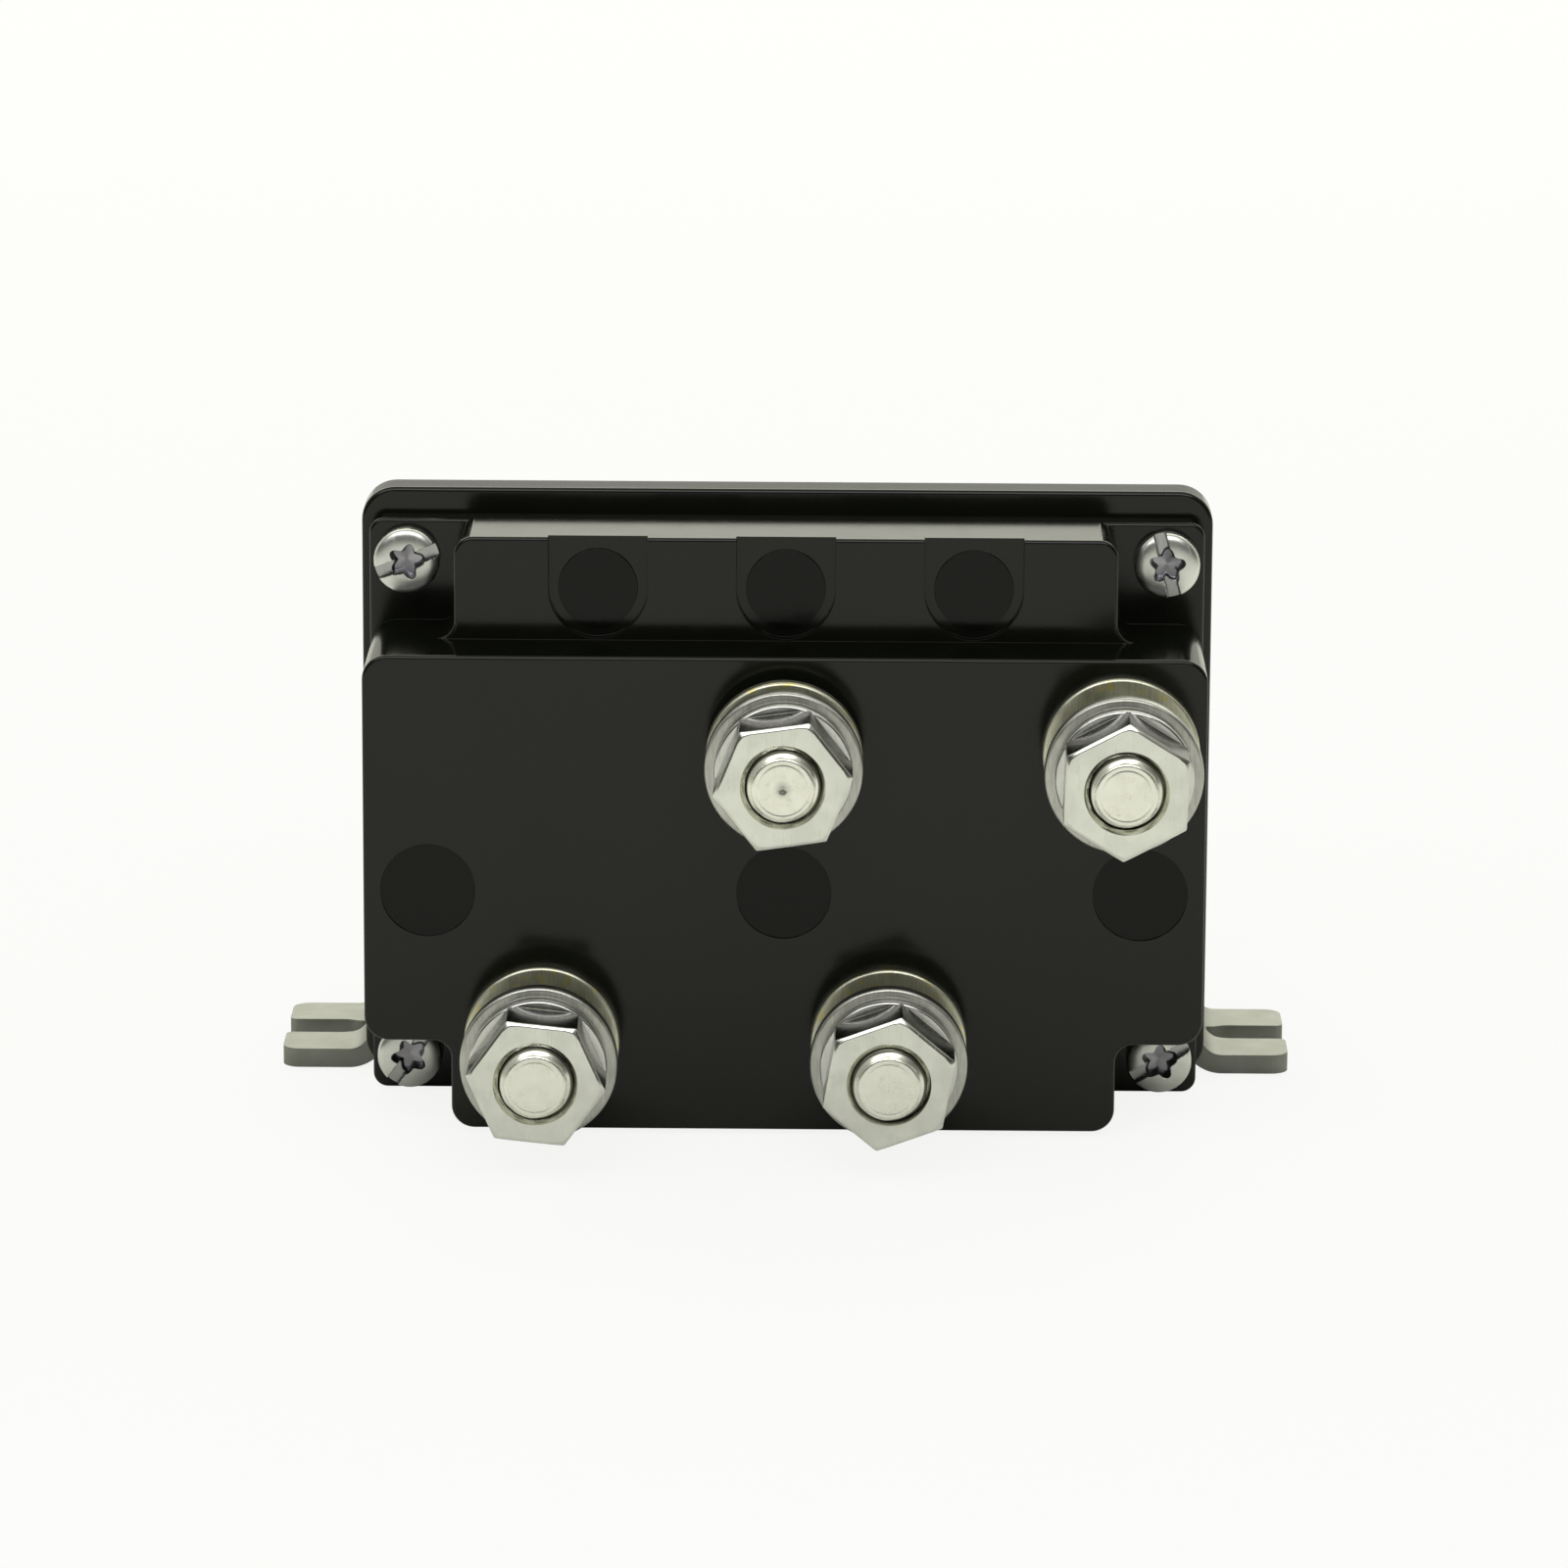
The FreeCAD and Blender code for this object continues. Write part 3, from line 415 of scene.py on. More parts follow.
def smooth(value, low, high):
    """Rises from 0 at low to 1 at high, level at both ends: 3t^2 - 2t^3 of the share t."""
    share = np.clip((value - low) / (high - low), 0, 1)
    return share * share * (3 - 2 * share)


def middle_of(node):
    """Centre of a node's box, seen along Y."""
    low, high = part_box(node)
    return (low[0] + high[0]) / 2, (low[2] + high[2]) / 2


def around(radius, depth, angle, centre):
    """Points at radius from the Y line through centre, at the angle from +X towards +Z and at Y depth."""
    radius, depth, angle = np.broadcast_arrays(radius, depth, angle)
    across = centre[0] + radius * np.cos(angle)
    return np.stack((across, depth, centre[1] + radius * np.sin(angle)), axis=-1)


def ring_faces(rows, columns, looped, first=0):
    """Quads between neighbouring rings; looped also joins the last ring to the first."""
    row = np.arange(rows if looped else rows - 1)[:, None]
    column = np.arange(columns)[None, :]
    beside = (column + 1) % columns
    here = row * columns
    beyond = (row + 1) % rows * columns
    quads = np.broadcast_arrays(here + column, here + beside, beyond + beside, beyond + column)
    return (first + np.stack(quads, axis=-1).reshape(-1, 4)).tolist()


def end_faces(rows, columns, first=0):
    """The two flat faces that close the first and the last ring."""
    last = first + (rows - 1) * columns
    return [list(range(first, first + columns)), list(range(last, last + columns))]


def piece_of(name, points, faces, finish, replaced):
    """Object through the points and faces, its faces turned outwards, that takes a node's place."""
    mesh = bpy.data.meshes.new(name)
    mesh.from_pydata(np.asarray(points).reshape(-1, 3).tolist(), [], faces)
    shape = bmesh.new()
    shape.from_mesh(mesh)
    bmesh.ops.recalc_face_normals(shape, faces=shape.faces)
    shape.to_mesh(mesh)
    shape.free()
    mesh.shade_smooth()
    mesh.set_sharp_from_angle(angle=crease_angle)
    mesh.materials.append(finish)
    piece = bpy.data.objects.new(name, mesh)
    bpy.context.collection.objects.link(piece)
    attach(piece, "case")
    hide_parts(replaced)
    return piece


def tinned(centre, marked):
    """Tin: warm white, rubbed, with faint turning rings round the stud's axis and a few dull spots.
    Painted shade darkens the thread's crests, the shank and the head, for the shadow in the gap between
    tip and nut, and the centre mark where the stud has one; the distance from the axis that places it is
    in units of a set span."""
    finish = material("tinned_stud")
    rings = finish.rings(centre, {"Scale": 900.0, "Distortion": 1.5, "Detail": 2.0, "Detail Scale": 3.0})
    cloud = finish.noise(1.1 * mm, 4.0)
    spot = finish.noise(0.8 * mm, 2.0, finish.place(centre=(0.003, 0.002, 0.001)))
    rubbed = finish.steps(cloud, (0.4, 0.0), (0.75, 1.0))
    tone = finish.mixed(rubbed, colour(0.98, 0.98, 0.9), colour(0.92, 0.92, 0.82))
    dulled = finish.steps(spot, (0.64, 0.0), (0.8, 0.4))
    tone = finish.mixed(dulled, tone, colour(0.6, 0.58, 0.42))
    offset = finish.place(centre=(centre[0], 0, centre[1]), stretch=(1 / painted_shade_span, 0, 1 / painted_shade_span))
    away = finish.add("ShaderNodeVectorMath", {"operation": "LENGTH"}, {0: offset}, output=1)
    # Painted shade on the crests, the shank and the head, for the shadow between tip and nut, and in the
    # centre mark.
    painted_shade = finish.steps(away, (painted_shade_from / painted_shade_span, 0.0), (painted_shade_to / painted_shade_span, 0.92))
    if marked:
        painted_shade = painted_shade + finish.steps(away, (0.0, 0.6), (0.04, 0.35), (0.11, 0.0))
    tone = finish.mixed(painted_shade, tone, colour(0.07, 0.065, 0.04))
    rough = 0.2 + 0.12 * cloud + 0.1 * painted_shade
    relief = finish.bump(rings, 0.0008 * mm)
    relief = finish.bump(cloud, 0.006 * mm, relief)
    return finish.surface({"Base Color": tone, "Roughness": rough, "Metallic": 1.0, "Normal": relief})


def tip_rings(tip, marked):
    """Radius and Y of the rings of a stud's tip: the flat face, with its centre mark if it is marked, the
    turned ring, and the quarter circle that rounds the edge."""
    middle_r = np.array((0.02, 0.5, 1.0, 1.2, 1.6)) * centre_mark_radius
    mark = centre_mark_depth if marked else 0.0
    middle_y = tip + mark * np.clip(1 - middle_r / centre_mark_radius, 0, 1)
    ring_r = tip_ring + np.array((-4, -2, -1, 1, 2, 3)) * tip_ring_width
    ring_y = tip + tip_ring_depth * np.array((0, 0, 1, 1, 0, 0))
    turn = np.linspace(0, math.pi / 2, 5)
    curl_r = thread_crest - tip_chamfer - tip_rounding * (1 - np.sin(turn))
    curl_y = tip + tip_rounding * (1 - np.cos(turn))
    return np.concatenate((middle_r, ring_r, curl_r)), np.concatenate((middle_y, ring_y, curl_y))


def stud(number):
    """Surface of revolution through the rings of the tip, the thread, the shank and the head. The
    thread's radius rises and falls with the distance from the helix, height = clip(steepness * tri -
    flat), where tri runs 0, 1, 0 over a pitch of Y / pitch + angle / turn; the bevelled tip caps it."""
    node = "stud_%d" % number
    centre = middle_of(node)
    low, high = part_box(node)
    tip = low[1]
    rear = high[1]
    seat = rear - stud_head_thick
    tip_r, tip_y = tip_rings(tip, number == 1)
    thread_y = np.arange(tip, min(tip + threaded_length, seat), thread_pitch / rows_in_pitch)
    thread_y = thread_y + tip_rounding
    wide = stud_head_radius
    narrow = stud_head_radius - head_edge
    rear_r = (shank_radius, shank_radius, narrow, wide, wide, narrow, stud_head_middle)
    runout = thread_y[-1] + thread_runout
    rear_y = (runout, seat, seat, seat + head_edge, rear - head_edge, rear, rear)
    radius = np.concatenate((tip_r, np.full(len(thread_y), thread_crest), rear_r))
    depth = np.concatenate((tip_y, thread_y, rear_y))
    angle = np.linspace(0, 2 * math.pi, stud_columns, endpoint=False)
    phase = (depth[:, None] - tip) / thread_pitch + angle[None, :] / (2 * math.pi)
    rise = np.clip(thread_steepness * np.abs(phase % 1 - 0.5) * 2 - thread_flat, 0, 1)
    cap = thread_crest - tip_chamfer + (depth - tip - tip_rounding)[:, None]
    wavy = np.minimum(thread_root + (thread_crest - thread_root) * rise, cap)
    on_thread = np.zeros(len(depth), bool)
    on_thread[len(tip_r):len(tip_r) + len(thread_y)] = True
    radius = np.where(on_thread[:, None], wavy, radius[:, None])
    points = around(radius, depth[:, None], angle[None, :], centre)
    faces = ring_faces(len(depth), stud_columns, False) + end_faces(len(depth), stud_columns)
    finish = tinned(centre, number == 1)
    piece_of("threaded_stud_%d" % number, points, faces, finish, node)


for number in stud_numbers:
    stud(number)

# The flat washers, two on each stud: pressed from steel strip, so that the front edge is rolled over
# and the rear edge is crisp, then zinc plated. The plate has gone dull, and on the base washers, next
# to the case, it is olive with yellow specks.
washer_roll = 0.38 * mm
washer_crisp = 0.1 * mm
washer_hole = 4.2 * mm
washer_columns = 120
washer_kinds = (("base", (0.82, 0.82, 0.67), 0.85), ("flat", (0.62, 0.62, 0.58), 0.0))
edge_steps = np.linspace(0, math.pi / 2, 6)


def dull_zinc(centre, tint, specks):
    """Dull zinc plate: cloudy and streaked, with fine marks of turning, and yellow specks as strong as
    specks says."""
    finish = material("dull_zinc")
    cloud = finish.noise(2.6 * mm, 4.0)
    stain = finish.noise(1.3 * mm, 3.0, finish.place(centre=(0.011, 0.004, 0.007)))
    grit = finish.noise(0.18 * mm, 2.0)
    streak = finish.noise(0.22 * mm, 3.0, finish.place(stretch=(1.0, 1.0, 0.1), turn=(0, 0.5, 0)))
    rings = finish.rings(centre, {"Scale": 420.0, "Distortion": 4.0, "Detail": 3.0, "Detail Scale": 2.0})
    dark = colour(*[0.72 * value for value in tint])
    shade = finish.steps(0.5 * cloud + 0.5 * streak, (0.36, 0.0), (0.62, 1.0))
    tone = finish.mixed(shade, dark, colour(*tint))
    tone = finish.mixed(finish.steps(stain, (0.57, 0.0), (0.67, specks)), tone, colour(0.82, 0.74, 0.3))
    rough = 0.24 + 0.12 * cloud + 0.05 * grit
    relief = finish.bump(grit, 0.003 * mm)
    relief = finish.bump(rings, 0.002 * mm, relief)
    return finish.surface({"Base Color": tone, "Roughness": rough, "Metallic": 1.0, "Normal": relief})


def rounded_section(inner, outer, front, rear, corner_radii):
    """Closed outline (radius, y) of a ring's section: four quarter circles joined by straight sides, in
    the order outer front, outer rear, inner rear, inner front."""
    across, along = [], []
    spots = ((outer, front, -1, 1), (outer, rear, -1, -1), (inner, rear, 1, -1), (inner, front, 1, 1))
    for (edge_r, edge_y, inward, backward), corner in zip(spots, corner_radii):
        turn = edge_steps[::-inward * backward]
        across.append(edge_r + inward * corner * (1 - np.sin(turn)))
        along.append(edge_y + backward * corner * (1 - np.cos(turn)))
    return np.concatenate(across), np.concatenate(along)


def flat_washer(node, name, tint, specks):
    """The rounded section carried once round the washer's own axis."""
    centre = middle_of(node)
    low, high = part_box(node)
    outer = (high[0] - low[0]) / 2
    radii = (washer_roll, washer_crisp, washer_crisp, washer_crisp)
    radius, depth = rounded_section(washer_hole, outer, low[1], high[1], radii)
    angle = np.linspace(0, 2 * math.pi, washer_columns, endpoint=False)
    points = around(radius[:, None], depth[:, None], angle[None, :], centre)
    faces = ring_faces(len(radius), washer_columns, True)
    piece_of(name, points, faces, dull_zinc(centre, tint, specks), node)


for number in stud_numbers:
    for kind, tint, specks in washer_kinds:
        node = "%s_washer_%d" % (kind, number)
        flat_washer(node, "pressed_" + node, tint, specks)

# The spring washers, one under each nut: coiled from bright square wire and cut off at a slant, so
# that the split shows two sharp ends. The nut holds them nearly flat.
split_gap = 1.3 * mm
split_lean = math.radians(30)
split_degrees = (-68.0, -88.0, -54.0, -80.0)
spring_edge = 0.3 * mm
spring_columns = 110


def bright_zinc(name, centre, tint, rough_low):
    """Bright zinc plate: clear grey, softly blurred, with a few fine scratches and darker clouds."""
    finish = material(name)
    cloud = finish.noise(2.2 * mm, 3.0)
    fine = finish.noise(0.12 * mm, 2.0)
    drawn = finish.place(centre=(centre[0], 0, centre[1]), stretch=(1, 1, 0.08), turn=(0, 0.6, 0))
    scratch = finish.noise(0.3 * mm, 4.0, drawn)
    dark = colour(*[0.88 * value for value in tint])
    tone = finish.mixed(finish.steps(cloud, (0.35, 0.0), (0.65, 1.0)), dark, colour(*tint))
    rough = rough_low + 0.06 * cloud + 0.08 * finish.steps(scratch, (0.58, 0.0), (0.66, 1.0))
    relief = finish.bump(cloud, 0.012 * mm)
    relief = finish.bump(fine, 0.0005 * mm, relief)
    relief = finish.bump(scratch, 0.0008 * mm, relief)
    return finish.surface({"Base Color": tone, "Roughness": rough, "Metallic": 1.0, "Normal": relief})


def spring_washer(number):
    """The rounded section carried round the stud from one side of the split to the other; at both ends a
    point's angle moves with its Y, which slants them."""
    node = "spring_washer_%d" % number
    low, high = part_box(node)
    stud_centre = middle_of("stud_%d" % number)
    outer = max(high[0] - stud_centre[0], stud_centre[0] - low[0])
    radius, depth = rounded_section(washer_hole, outer, low[1], high[1], (spring_edge,) * 4)
    split = math.radians(split_degrees[number - 1])
    slant = math.tan(split_lean) * (depth - (low[1] + high[1]) / 2) / radius
    start = split + split_gap / 2 / radius + slant
    end = split + 2 * math.pi - split_gap / 2 / radius + slant
    share = np.linspace(0, 1, spring_columns)[:, None]
    points = around(radius[None, :], depth[None, :], start + share * (end - start), stud_centre)
    faces = ring_faces(spring_columns, len(radius), False) + end_faces(spring_columns, len(radius))
    finish = bright_zinc("spring_zinc", stud_centre, (0.72, 0.72, 0.7), 0.15)
    piece_of("split_washer_%d" % number, points, faces, finish, node)


for number in stud_numbers:
    spring_washer(number)

# The M8 nuts, 13 mm across flats: both faces bevelled along the edges and more at the corners, with a
# countersunk thread, and bright zinc plated. The six sides take a darker copy of the zinc, which is
# painted shade.
nut_flat = 6.5 * mm
nut_degrees = (8.0, 28.0, -6.0, 20.0)
nut_corner = 0.3 * mm
nut_face = 6.9 * mm
nut_border = 0.32 * mm
nut_slope = 0.55
nut_arris = 0.12 * mm
nut_bore = 4.05 * mm
nut_sink = 0.48 * mm
nut_hold = 0.12 * mm
nut_upright = 0.3
bevel_rings = (0.2, 0.9, 1.0)
corner_steps = 5
flat_steps = 10


def hexagon(turn):
    """Angles round a hexagon, dense at its corners, and the radius there. On a flat the radius is the
    half width over the cosine; on a corner it is that of a small circle tangent to both flats."""
    reach = (nut_flat - nut_corner) / math.cos(math.pi / 6)
    limit = math.atan2(nut_corner * 0.5, reach + nut_corner * math.cos(math.pi / 6))
    near = np.linspace(-limit, limit, corner_steps)
    far = np.linspace(limit, math.pi / 3 - limit, flat_steps)[1:-1]
    offset = np.concatenate((near, far))
    corner_r = reach * np.cos(near) + np.sqrt(nut_corner ** 2 - (reach * np.sin(near)) ** 2)
    flat_r = nut_flat / np.cos(far - math.pi / 6)
    turns = turn + np.arange(6)[:, None] * math.pi / 3
    return (turns + offset).ravel(), np.tile(np.concatenate((corner_r, flat_r)), 6)


def nut(number):
    """Rings from the bore over the front face, the sides and the rear face back into the bore. The face
    is flat out to a circle, or to a border short of the sides; past it, it falls by slope * distance. Two
    rings a little inside the flat part's limits hold it flat under smooth shading."""
    node = "nut_%d" % number
    low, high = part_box(node)
    centre = middle_of("stud_%d" % number)
    angle, side = hexagon(math.radians(nut_degrees[number - 1]))
    face_r = np.minimum(nut_face, side - nut_border)
    over = face_r + np.array(bevel_rings)[:, None] * (side - nut_arris - face_r)
    bore = np.full_like(side, nut_bore)
    sunk = np.full_like(side, nut_bore + nut_sink)
    held = sunk + nut_hold
    brink = face_r - nut_hold
    mid = (low[1] + high[1]) / 2
    half = (high[1] - low[1]) / 2
    fall = nut_slope * (over - face_r)
    flat = 0 * side
    radii = np.vstack((bore, bore, sunk, held, brink, face_r, over, side))
    drops = np.vstack((flat + half, flat + nut_sink, flat, flat, flat, flat, fall, fall[-1] + nut_arris))
    radii = np.vstack((radii, radii[:0:-1]))
    depths = np.vstack((mid - half + drops, (mid + half - drops)[:0:-1]))
    points = around(radii, depths, angle[None, :], centre)
    faces = ring_faces(len(radii), len(angle), True)
    finish = bright_zinc("nut_zinc", centre, (0.84, 0.85, 0.79), 0.17)
    piece = piece_of("hexagon_nut_%d" % number, points, faces, finish, node)
    # Painted shade: the six sides get a darker copy of the nut's zinc.
    piece.data.materials.append(bright_zinc("nut_flat_zinc", centre, (0.4, 0.4, 0.39), 0.13))
    for face in piece.data.polygons:
        if abs(face.normal.y) < nut_upright:
            face.material_index = 1


for number in stud_numbers:
    nut(number)

# The screws: four pan heads hold the housing to the cover, and two countersunk heads hold each foot.
# They are M4, bright zinc plated, with a slot across the head and a deeper star with five round points.
head_radius = 3.6 * mm
head_rise = 1.4 * mm
head_crown = 1.1 * mm
crown_power = 3.4
recess_floor = 1.0 * mm
slot_half = 0.65 * mm
star_radius = 1.72 * mm
star_points = 5
star_swell = 0.2
star_depth = 0.4 * mm
star_cone = 0.25 * mm
star_wall = 0.42 * mm
recess_wall = 0.18 * mm
head_grid = 121
screw_pitch = 0.7 * mm
screw_crest = 1.93 * mm
screw_root = 1.6 * mm
rows_in_screw_pitch = 8
screw_columns = 40
cover_screw_degrees = (124.0, 158.0, 148.0, 76.0)
foot_screw_degrees = (300.0, 260.0)
sunk_floor = -1.0 * mm
floor_share = 0.9
wall_share = 0.1


def slot_share(along):
    """Share, from 0 outside to 1 inside, of the slot."""
    return 1 - smooth(np.abs(along), slot_half - recess_wall / 2, slot_half + recess_wall / 2)


def star_share(across, along):
    """Share, from 0 outside to 1 inside, of the star: edge radius * (1 + swell * cos(points * angle))."""
    edge = star_radius * (1 + star_swell * np.cos(star_points * np.arctan2(across, along)))
    return 1 - smooth(np.hypot(across, along), edge - star_wall, edge)


def screw_head(degrees, pan):
    """Top of a head: a square grid pressed onto a disc, with x = u sqrt(1 - v^2 / 2) and its like, whose
    height is a dome, or 0 on a countersunk head, cut down by the recess. Also gives each point's zone: 0
    outside, 1 on the recess's walls, 2 on the slot's floor and 3 on the star's."""
    line = np.linspace(-1, 1, head_grid)
    u, v = np.meshgrid(line, line, indexing="ij")
    across = head_radius * u * np.sqrt(1 - v * v / 2)
    along = head_radius * v * np.sqrt(1 - u * u / 2)
    radius = np.hypot(across, along)
    dome = 0 * radius
    slot_floor = sunk_floor
    if pan:
        share = np.clip(radius / head_radius, 0, 1)
        dome = head_rise + head_crown * (1 - share ** crown_power) ** (1 / crown_power)
        slot_floor = recess_floor
    star = star_share(across, along)
    cut = np.maximum(slot_share(along), star)
    pit = star * (star_depth + star_cone * np.clip(1 - radius / star_radius, 0, 1))
    height = dome + cut * (np.minimum(slot_floor, dome) - pit - dome)
    spin = math.radians(degrees)
    x = across * math.cos(spin) + along * math.sin(spin)
    z = along * math.cos(spin) - across * math.sin(spin)
    inside = (star > floor_share, star > wall_share, cut > floor_share, cut > wall_share)
    return np.stack((x, -height, z), axis=-1), np.select(inside, (3, 1, 2, 1), 0)


def screw(length, degrees, pan):
    """Head and shank along +Y from the origin, as points, faces and each face's zone: the head's top, a
    skirt from its edge to its seat, and a shank whose radius falls and rises again over each pitch of the
    helix and narrows to the root at its end."""
    top, zone = screw_head(degrees, pan)
    top = top.reshape(-1, 3)
    index = np.arange(head_grid ** 2).reshape(head_grid, head_grid)
    quads = np.stack((index[:-1, :-1], index[1:, :-1], index[1:, 1:], index[:-1, 1:]), axis=-1)
    border = np.concatenate((index[0, :-1], index[:-1, -1], index[-1, :0:-1], index[:0:-1, 0]))
    seat = top[border]
    seat[:, 1] = 0
    if not pan:
        seat[:, 1] = head_radius - screw_crest
        seat[:, (0, 2)] *= screw_crest / head_radius
    here = len(top) + np.arange(len(border))
    skirt = np.stack((border, np.roll(border, -1), np.roll(here, -1), here), axis=-1)
    faces = quads.reshape(-1, 4).tolist() + skirt.tolist() + [here.tolist()]
    depth = np.arange(seat[0, 1], length, screw_pitch / rows_in_screw_pitch)
    angle = np.linspace(0, 2 * math.pi, screw_columns, endpoint=False)
    phase = depth[:, None] / screw_pitch + angle[None, :] / (2 * math.pi)
    wavy = screw_root + (screw_crest - screw_root) * np.abs(phase % 1 - 0.5) * 2
    wavy = np.minimum(wavy, screw_root + (length - depth)[:, None])
    shank = around(wavy, depth[:, None], angle[None, :], (0, 0)).reshape(-1, 3)
    first = len(top) + len(seat)
    faces += ring_faces(len(depth), screw_columns, False, first)
    faces += end_faces(len(depth), screw_columns, first)
    zones = np.zeros(len(faces), np.int32)
    zones[:(head_grid - 1) ** 2] = zone[:-1, :-1].ravel()
    return np.concatenate((top, seat, shank)), faces, zones


def screw_set(name, placed, node):
    """One piece of several screws, each placed as points, faces and zones. The materials are in the
    zones' order."""
    points = []
    faces = []
    zones = []
    first = 0
    for some_points, some_faces, some_zones in placed:
        points.append(some_points)
        faces += [[first + corner for corner in face] for face in some_faces]
        zones.append(some_zones)
        first += len(some_points)
    finish = bright_zinc("screw_zinc", (0, 0), (0.84, 0.85, 0.81), 0.26)
    piece = piece_of(name, np.concatenate(points), faces, finish, node)
    # Painted shade: the recess's walls and the floors of the slot and the star get darker copies of the
    # zinc.
    piece.data.materials.append(bright_zinc("screw_wall_painted_shade", (0, 0), (0.16, 0.16, 0.15), 0.3))
    piece.data.materials.append(bright_zinc("screw_slot_painted_shade", (0, 0), (0.6, 0.6, 0.6), 0.3))
    piece.data.materials.append(bright_zinc("screw_star_painted_shade", (0, 0), (0.5, 0.49, 0.54), 0.3))
    piece.data.polygons.foreach_set("material_index", np.concatenate(zones))


low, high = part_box("cover_screws")
inset = head_radius
edges = (low[0] + inset, high[0] - inset)
corners = [(x, z) for x in edges for z in (low[2] + inset, high[2] - inset)]
pan_seat = low[1] + head_rise + head_crown
pans = []
for (x, z), degrees in zip(corners, cover_screw_degrees):
    points, *rest = screw(high[1] - pan_seat, degrees, True)
    pans.append((points + (x, pan_seat, z), *rest))
screw_set("pan_head_screws", pans, "cover_screws")

low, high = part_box("bracket_screws")
depth_middle = (low[1] + high[1]) / 2
foot_screw_length = 7.0 * mm
sunks = []
for side, edge_x in ((-1, low[0]), (1, high[0])):
    for z, degrees in zip((low[2] + inset, high[2] - inset), foot_screw_degrees):
        points, *rest = screw(foot_screw_length, degrees, False)
        turned_points = np.stack((-side * points[:, 1], side * points[:, 0], points[:, 2]), axis=-1)
        sunks.append((turned_points + (edge_x, depth_middle, z), *rest))
screw_set("countersunk_screws", sunks, "bracket_screws")

# The copper bars behind the front wall and the two moving bridges: flat bar 2 mm thick, sheared and
# punched, left bare, with a thin brown film. Silver-alloy contacts are riveted to them.


def dress(names, finish):
    """Gives nodes whose shape is right their finish."""
    for name in names:
        nodes[name].data.materials.clear()
        nodes[name].data.materials.append(finish)


def drawn_metal(name, tint, film, rough, stretch):
    """Bare metal with a film of tarnish in clouds and fine lines drawn out by stretch."""
    finish = material(name)
    cloud = finish.noise(4 * mm, 4.0)
    lines = finish.noise(0.3 * mm, 3.0, finish.place(stretch=stretch))
    tone = finish.mixed(finish.steps(cloud, (0.4, 0.0), (0.7, 1.0)), colour(*tint), colour(*film))
    rough = rough + 0.12 * lines + 0.08 * cloud
    relief = finish.bump(lines, 0.004 * mm)
    return finish.surface({"Base Color": tone, "Roughness": rough, "Metallic": 1.0, "Normal": relief})


copper = drawn_metal("bare_copper", (0.74, 0.43, 0.3), (0.5, 0.27, 0.18), 0.28, (0.1, 1, 1))
silver = drawn_metal("contact_silver", (0.86, 0.86, 0.83), (0.66, 0.65, 0.6), 0.32, (1, 1, 1))
dress(["supply_bar_positive", "supply_bar_negative", "motor_bar_left", "motor_bar_right",
       "moving_bridge_left", "moving_bridge_right"], copper)
dress(["fixed_contact_tips", "moving_contact_tips_left", "moving_contact_tips_right"], silver)

# The barrier between the contacts and the coils: a sheet of brown laminated board, cut and drilled,
# that sits in the mouth of the cover.


def laminated_board():
    """Resin board: dark brown, with the fibres of its paper layers."""
    finish = material("barrier_board")
    fibre = finish.noise(0.7 * mm, 5.0, finish.place(stretch=(0.3, 1, 1)))
    cloud = finish.noise(6 * mm, 2.0)
    tone = finish.mixed(0.6 * fibre + 0.4 * cloud, colour(0.05, 0.022, 0.012), colour(0.12, 0.06, 0.03))
    relief = finish.bump(fibre, 0.01 * mm)
    return finish.surface({"Base Color": tone, "Roughness": 0.42 + 0.2 * fibre, "Normal": relief})


dress(["insulating_plate"], laminated_board())

# The solenoids: a bent yoke, a pole plate and a riveted core of soft iron round a nylon bobbin, with a
# plunger that slides in it. Springs, rods and clips are of drawn steel wire.
iron = drawn_metal("soft_iron", (0.46, 0.46, 0.46), (0.37, 0.365, 0.35), 0.34, (1, 1, 0.15))
wire = drawn_metal("spring_wire", (0.58, 0.58, 0.6), (0.42, 0.42, 0.44), 0.24, (1, 0.2, 1))


def nylon():
    """Natural nylon: creamy, half matt, with a fine grain of moulding."""
    finish = material("natural_nylon")
    cloud = finish.noise(5 * mm, 2.0)
    grain = finish.noise(0.2 * mm, 2.0)
    tone = finish.mixed(cloud, colour(0.66, 0.62, 0.48), colour(0.74, 0.71, 0.6))
    relief = finish.bump(grain, 0.004 * mm)
    return finish.surface({"Base Color": tone, "Roughness": 0.4 + 0.15 * grain, "Normal": relief})


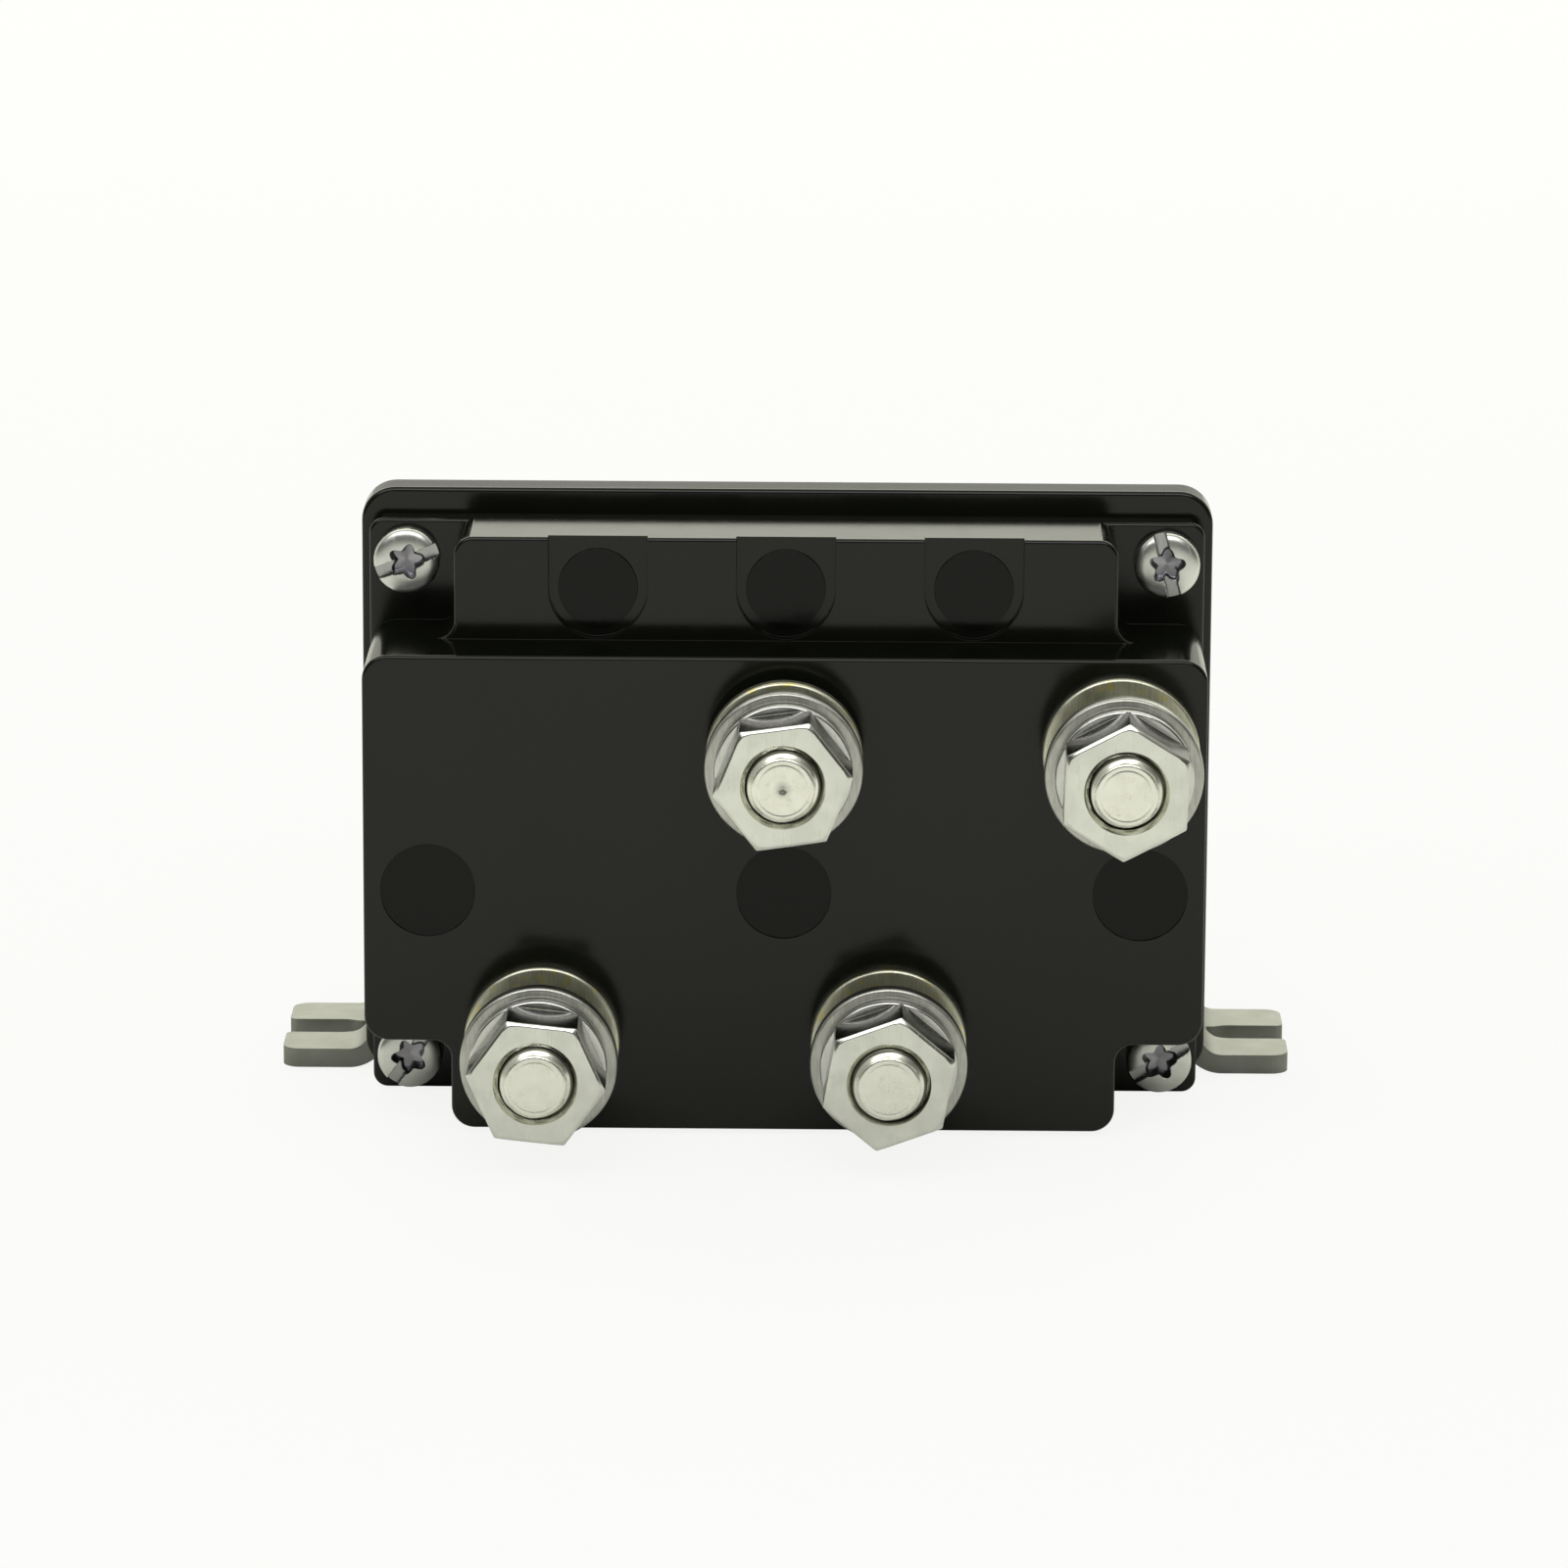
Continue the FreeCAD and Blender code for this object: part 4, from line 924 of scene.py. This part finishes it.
cream = nylon()
for side in ("left", "right"):
    dress(["yoke_frame_" + side, "pole_plate_" + side, "fixed_core_" + side, "plunger_" + side], iron)
    return_spring = "return_spring_" + side
    dress([return_spring, "contact_spring_" + side, "push_rod_" + side, "retaining_clip_" + side], wire)
    dress(["bobbin_" + side, "insulating_bush_" + side], cream)
    low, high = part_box(return_spring)
    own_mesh(nodes[return_spring])

# The windings: enamelled copper wire, wound turn beside turn on each bobbin. The outer layer is
# shaped, and a plain bore stands for the rest.
wire_pitch = 0.5 * mm
rows_in_turn = 8
winding_columns = 80
winding_core = 8.05 * mm


def enamelled_wire():
    """Copper wire under clear amber enamel."""
    finish = material("enamelled_wire")
    cloud = finish.noise(3 * mm, 3.0)
    tone = finish.mixed(cloud, colour(0.42, 0.15, 0.06), colour(0.62, 0.27, 0.12))
    rough = 0.22 + 0.15 * cloud
    return finish.surface({"Base Color": tone, "Roughness": rough, "Metallic": 0.85, "Coat Weight": 0.6})


def winding(side, finish):
    """Hollow roll whose outer radius bulges over each turn of the helix by half the wire, as
    sqrt(1 - (2t - 1)^2) of the share t of the turn."""
    node = "winding_" + side
    low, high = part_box(node)
    outer = (high[0] - low[0]) / 2
    depth = np.arange(low[1], high[1], wire_pitch / rows_in_turn)
    angle = np.linspace(0, 2 * math.pi, winding_columns, endpoint=False)
    share = ((depth[:, None] - low[1]) / wire_pitch + angle[None, :] / (2 * math.pi)) % 1
    bulge = wire_pitch / 2 * (np.sqrt(np.clip(1 - (2 * share - 1) ** 2, 0, 1)) - 1)
    core = np.full_like(bulge[:1], winding_core)
    radii = np.vstack((core, outer + bulge, core))
    depths = np.concatenate(((low[1],), depth, (depth[-1],)))
    points = around(radii, depths[:, None], angle[None, :], middle_of(node))
    faces = ring_faces(len(depths), winding_columns, True)
    piece_of("wound_coil_" + side, points, faces, finish, node)


amber = enamelled_wire()
for side in ("left", "right"):
    winding(side, amber)

# The push-on tabs for the coils: three blades stamped from brass strip, which reach out through slots
# in the cover's back and bear on its inside with their shoulders.
brass = drawn_metal("tab_brass", (0.76, 0.6, 0.3), (0.6, 0.46, 0.22), 0.28, (1, 0.15, 1))
dress(["coil_tabs"], brass)
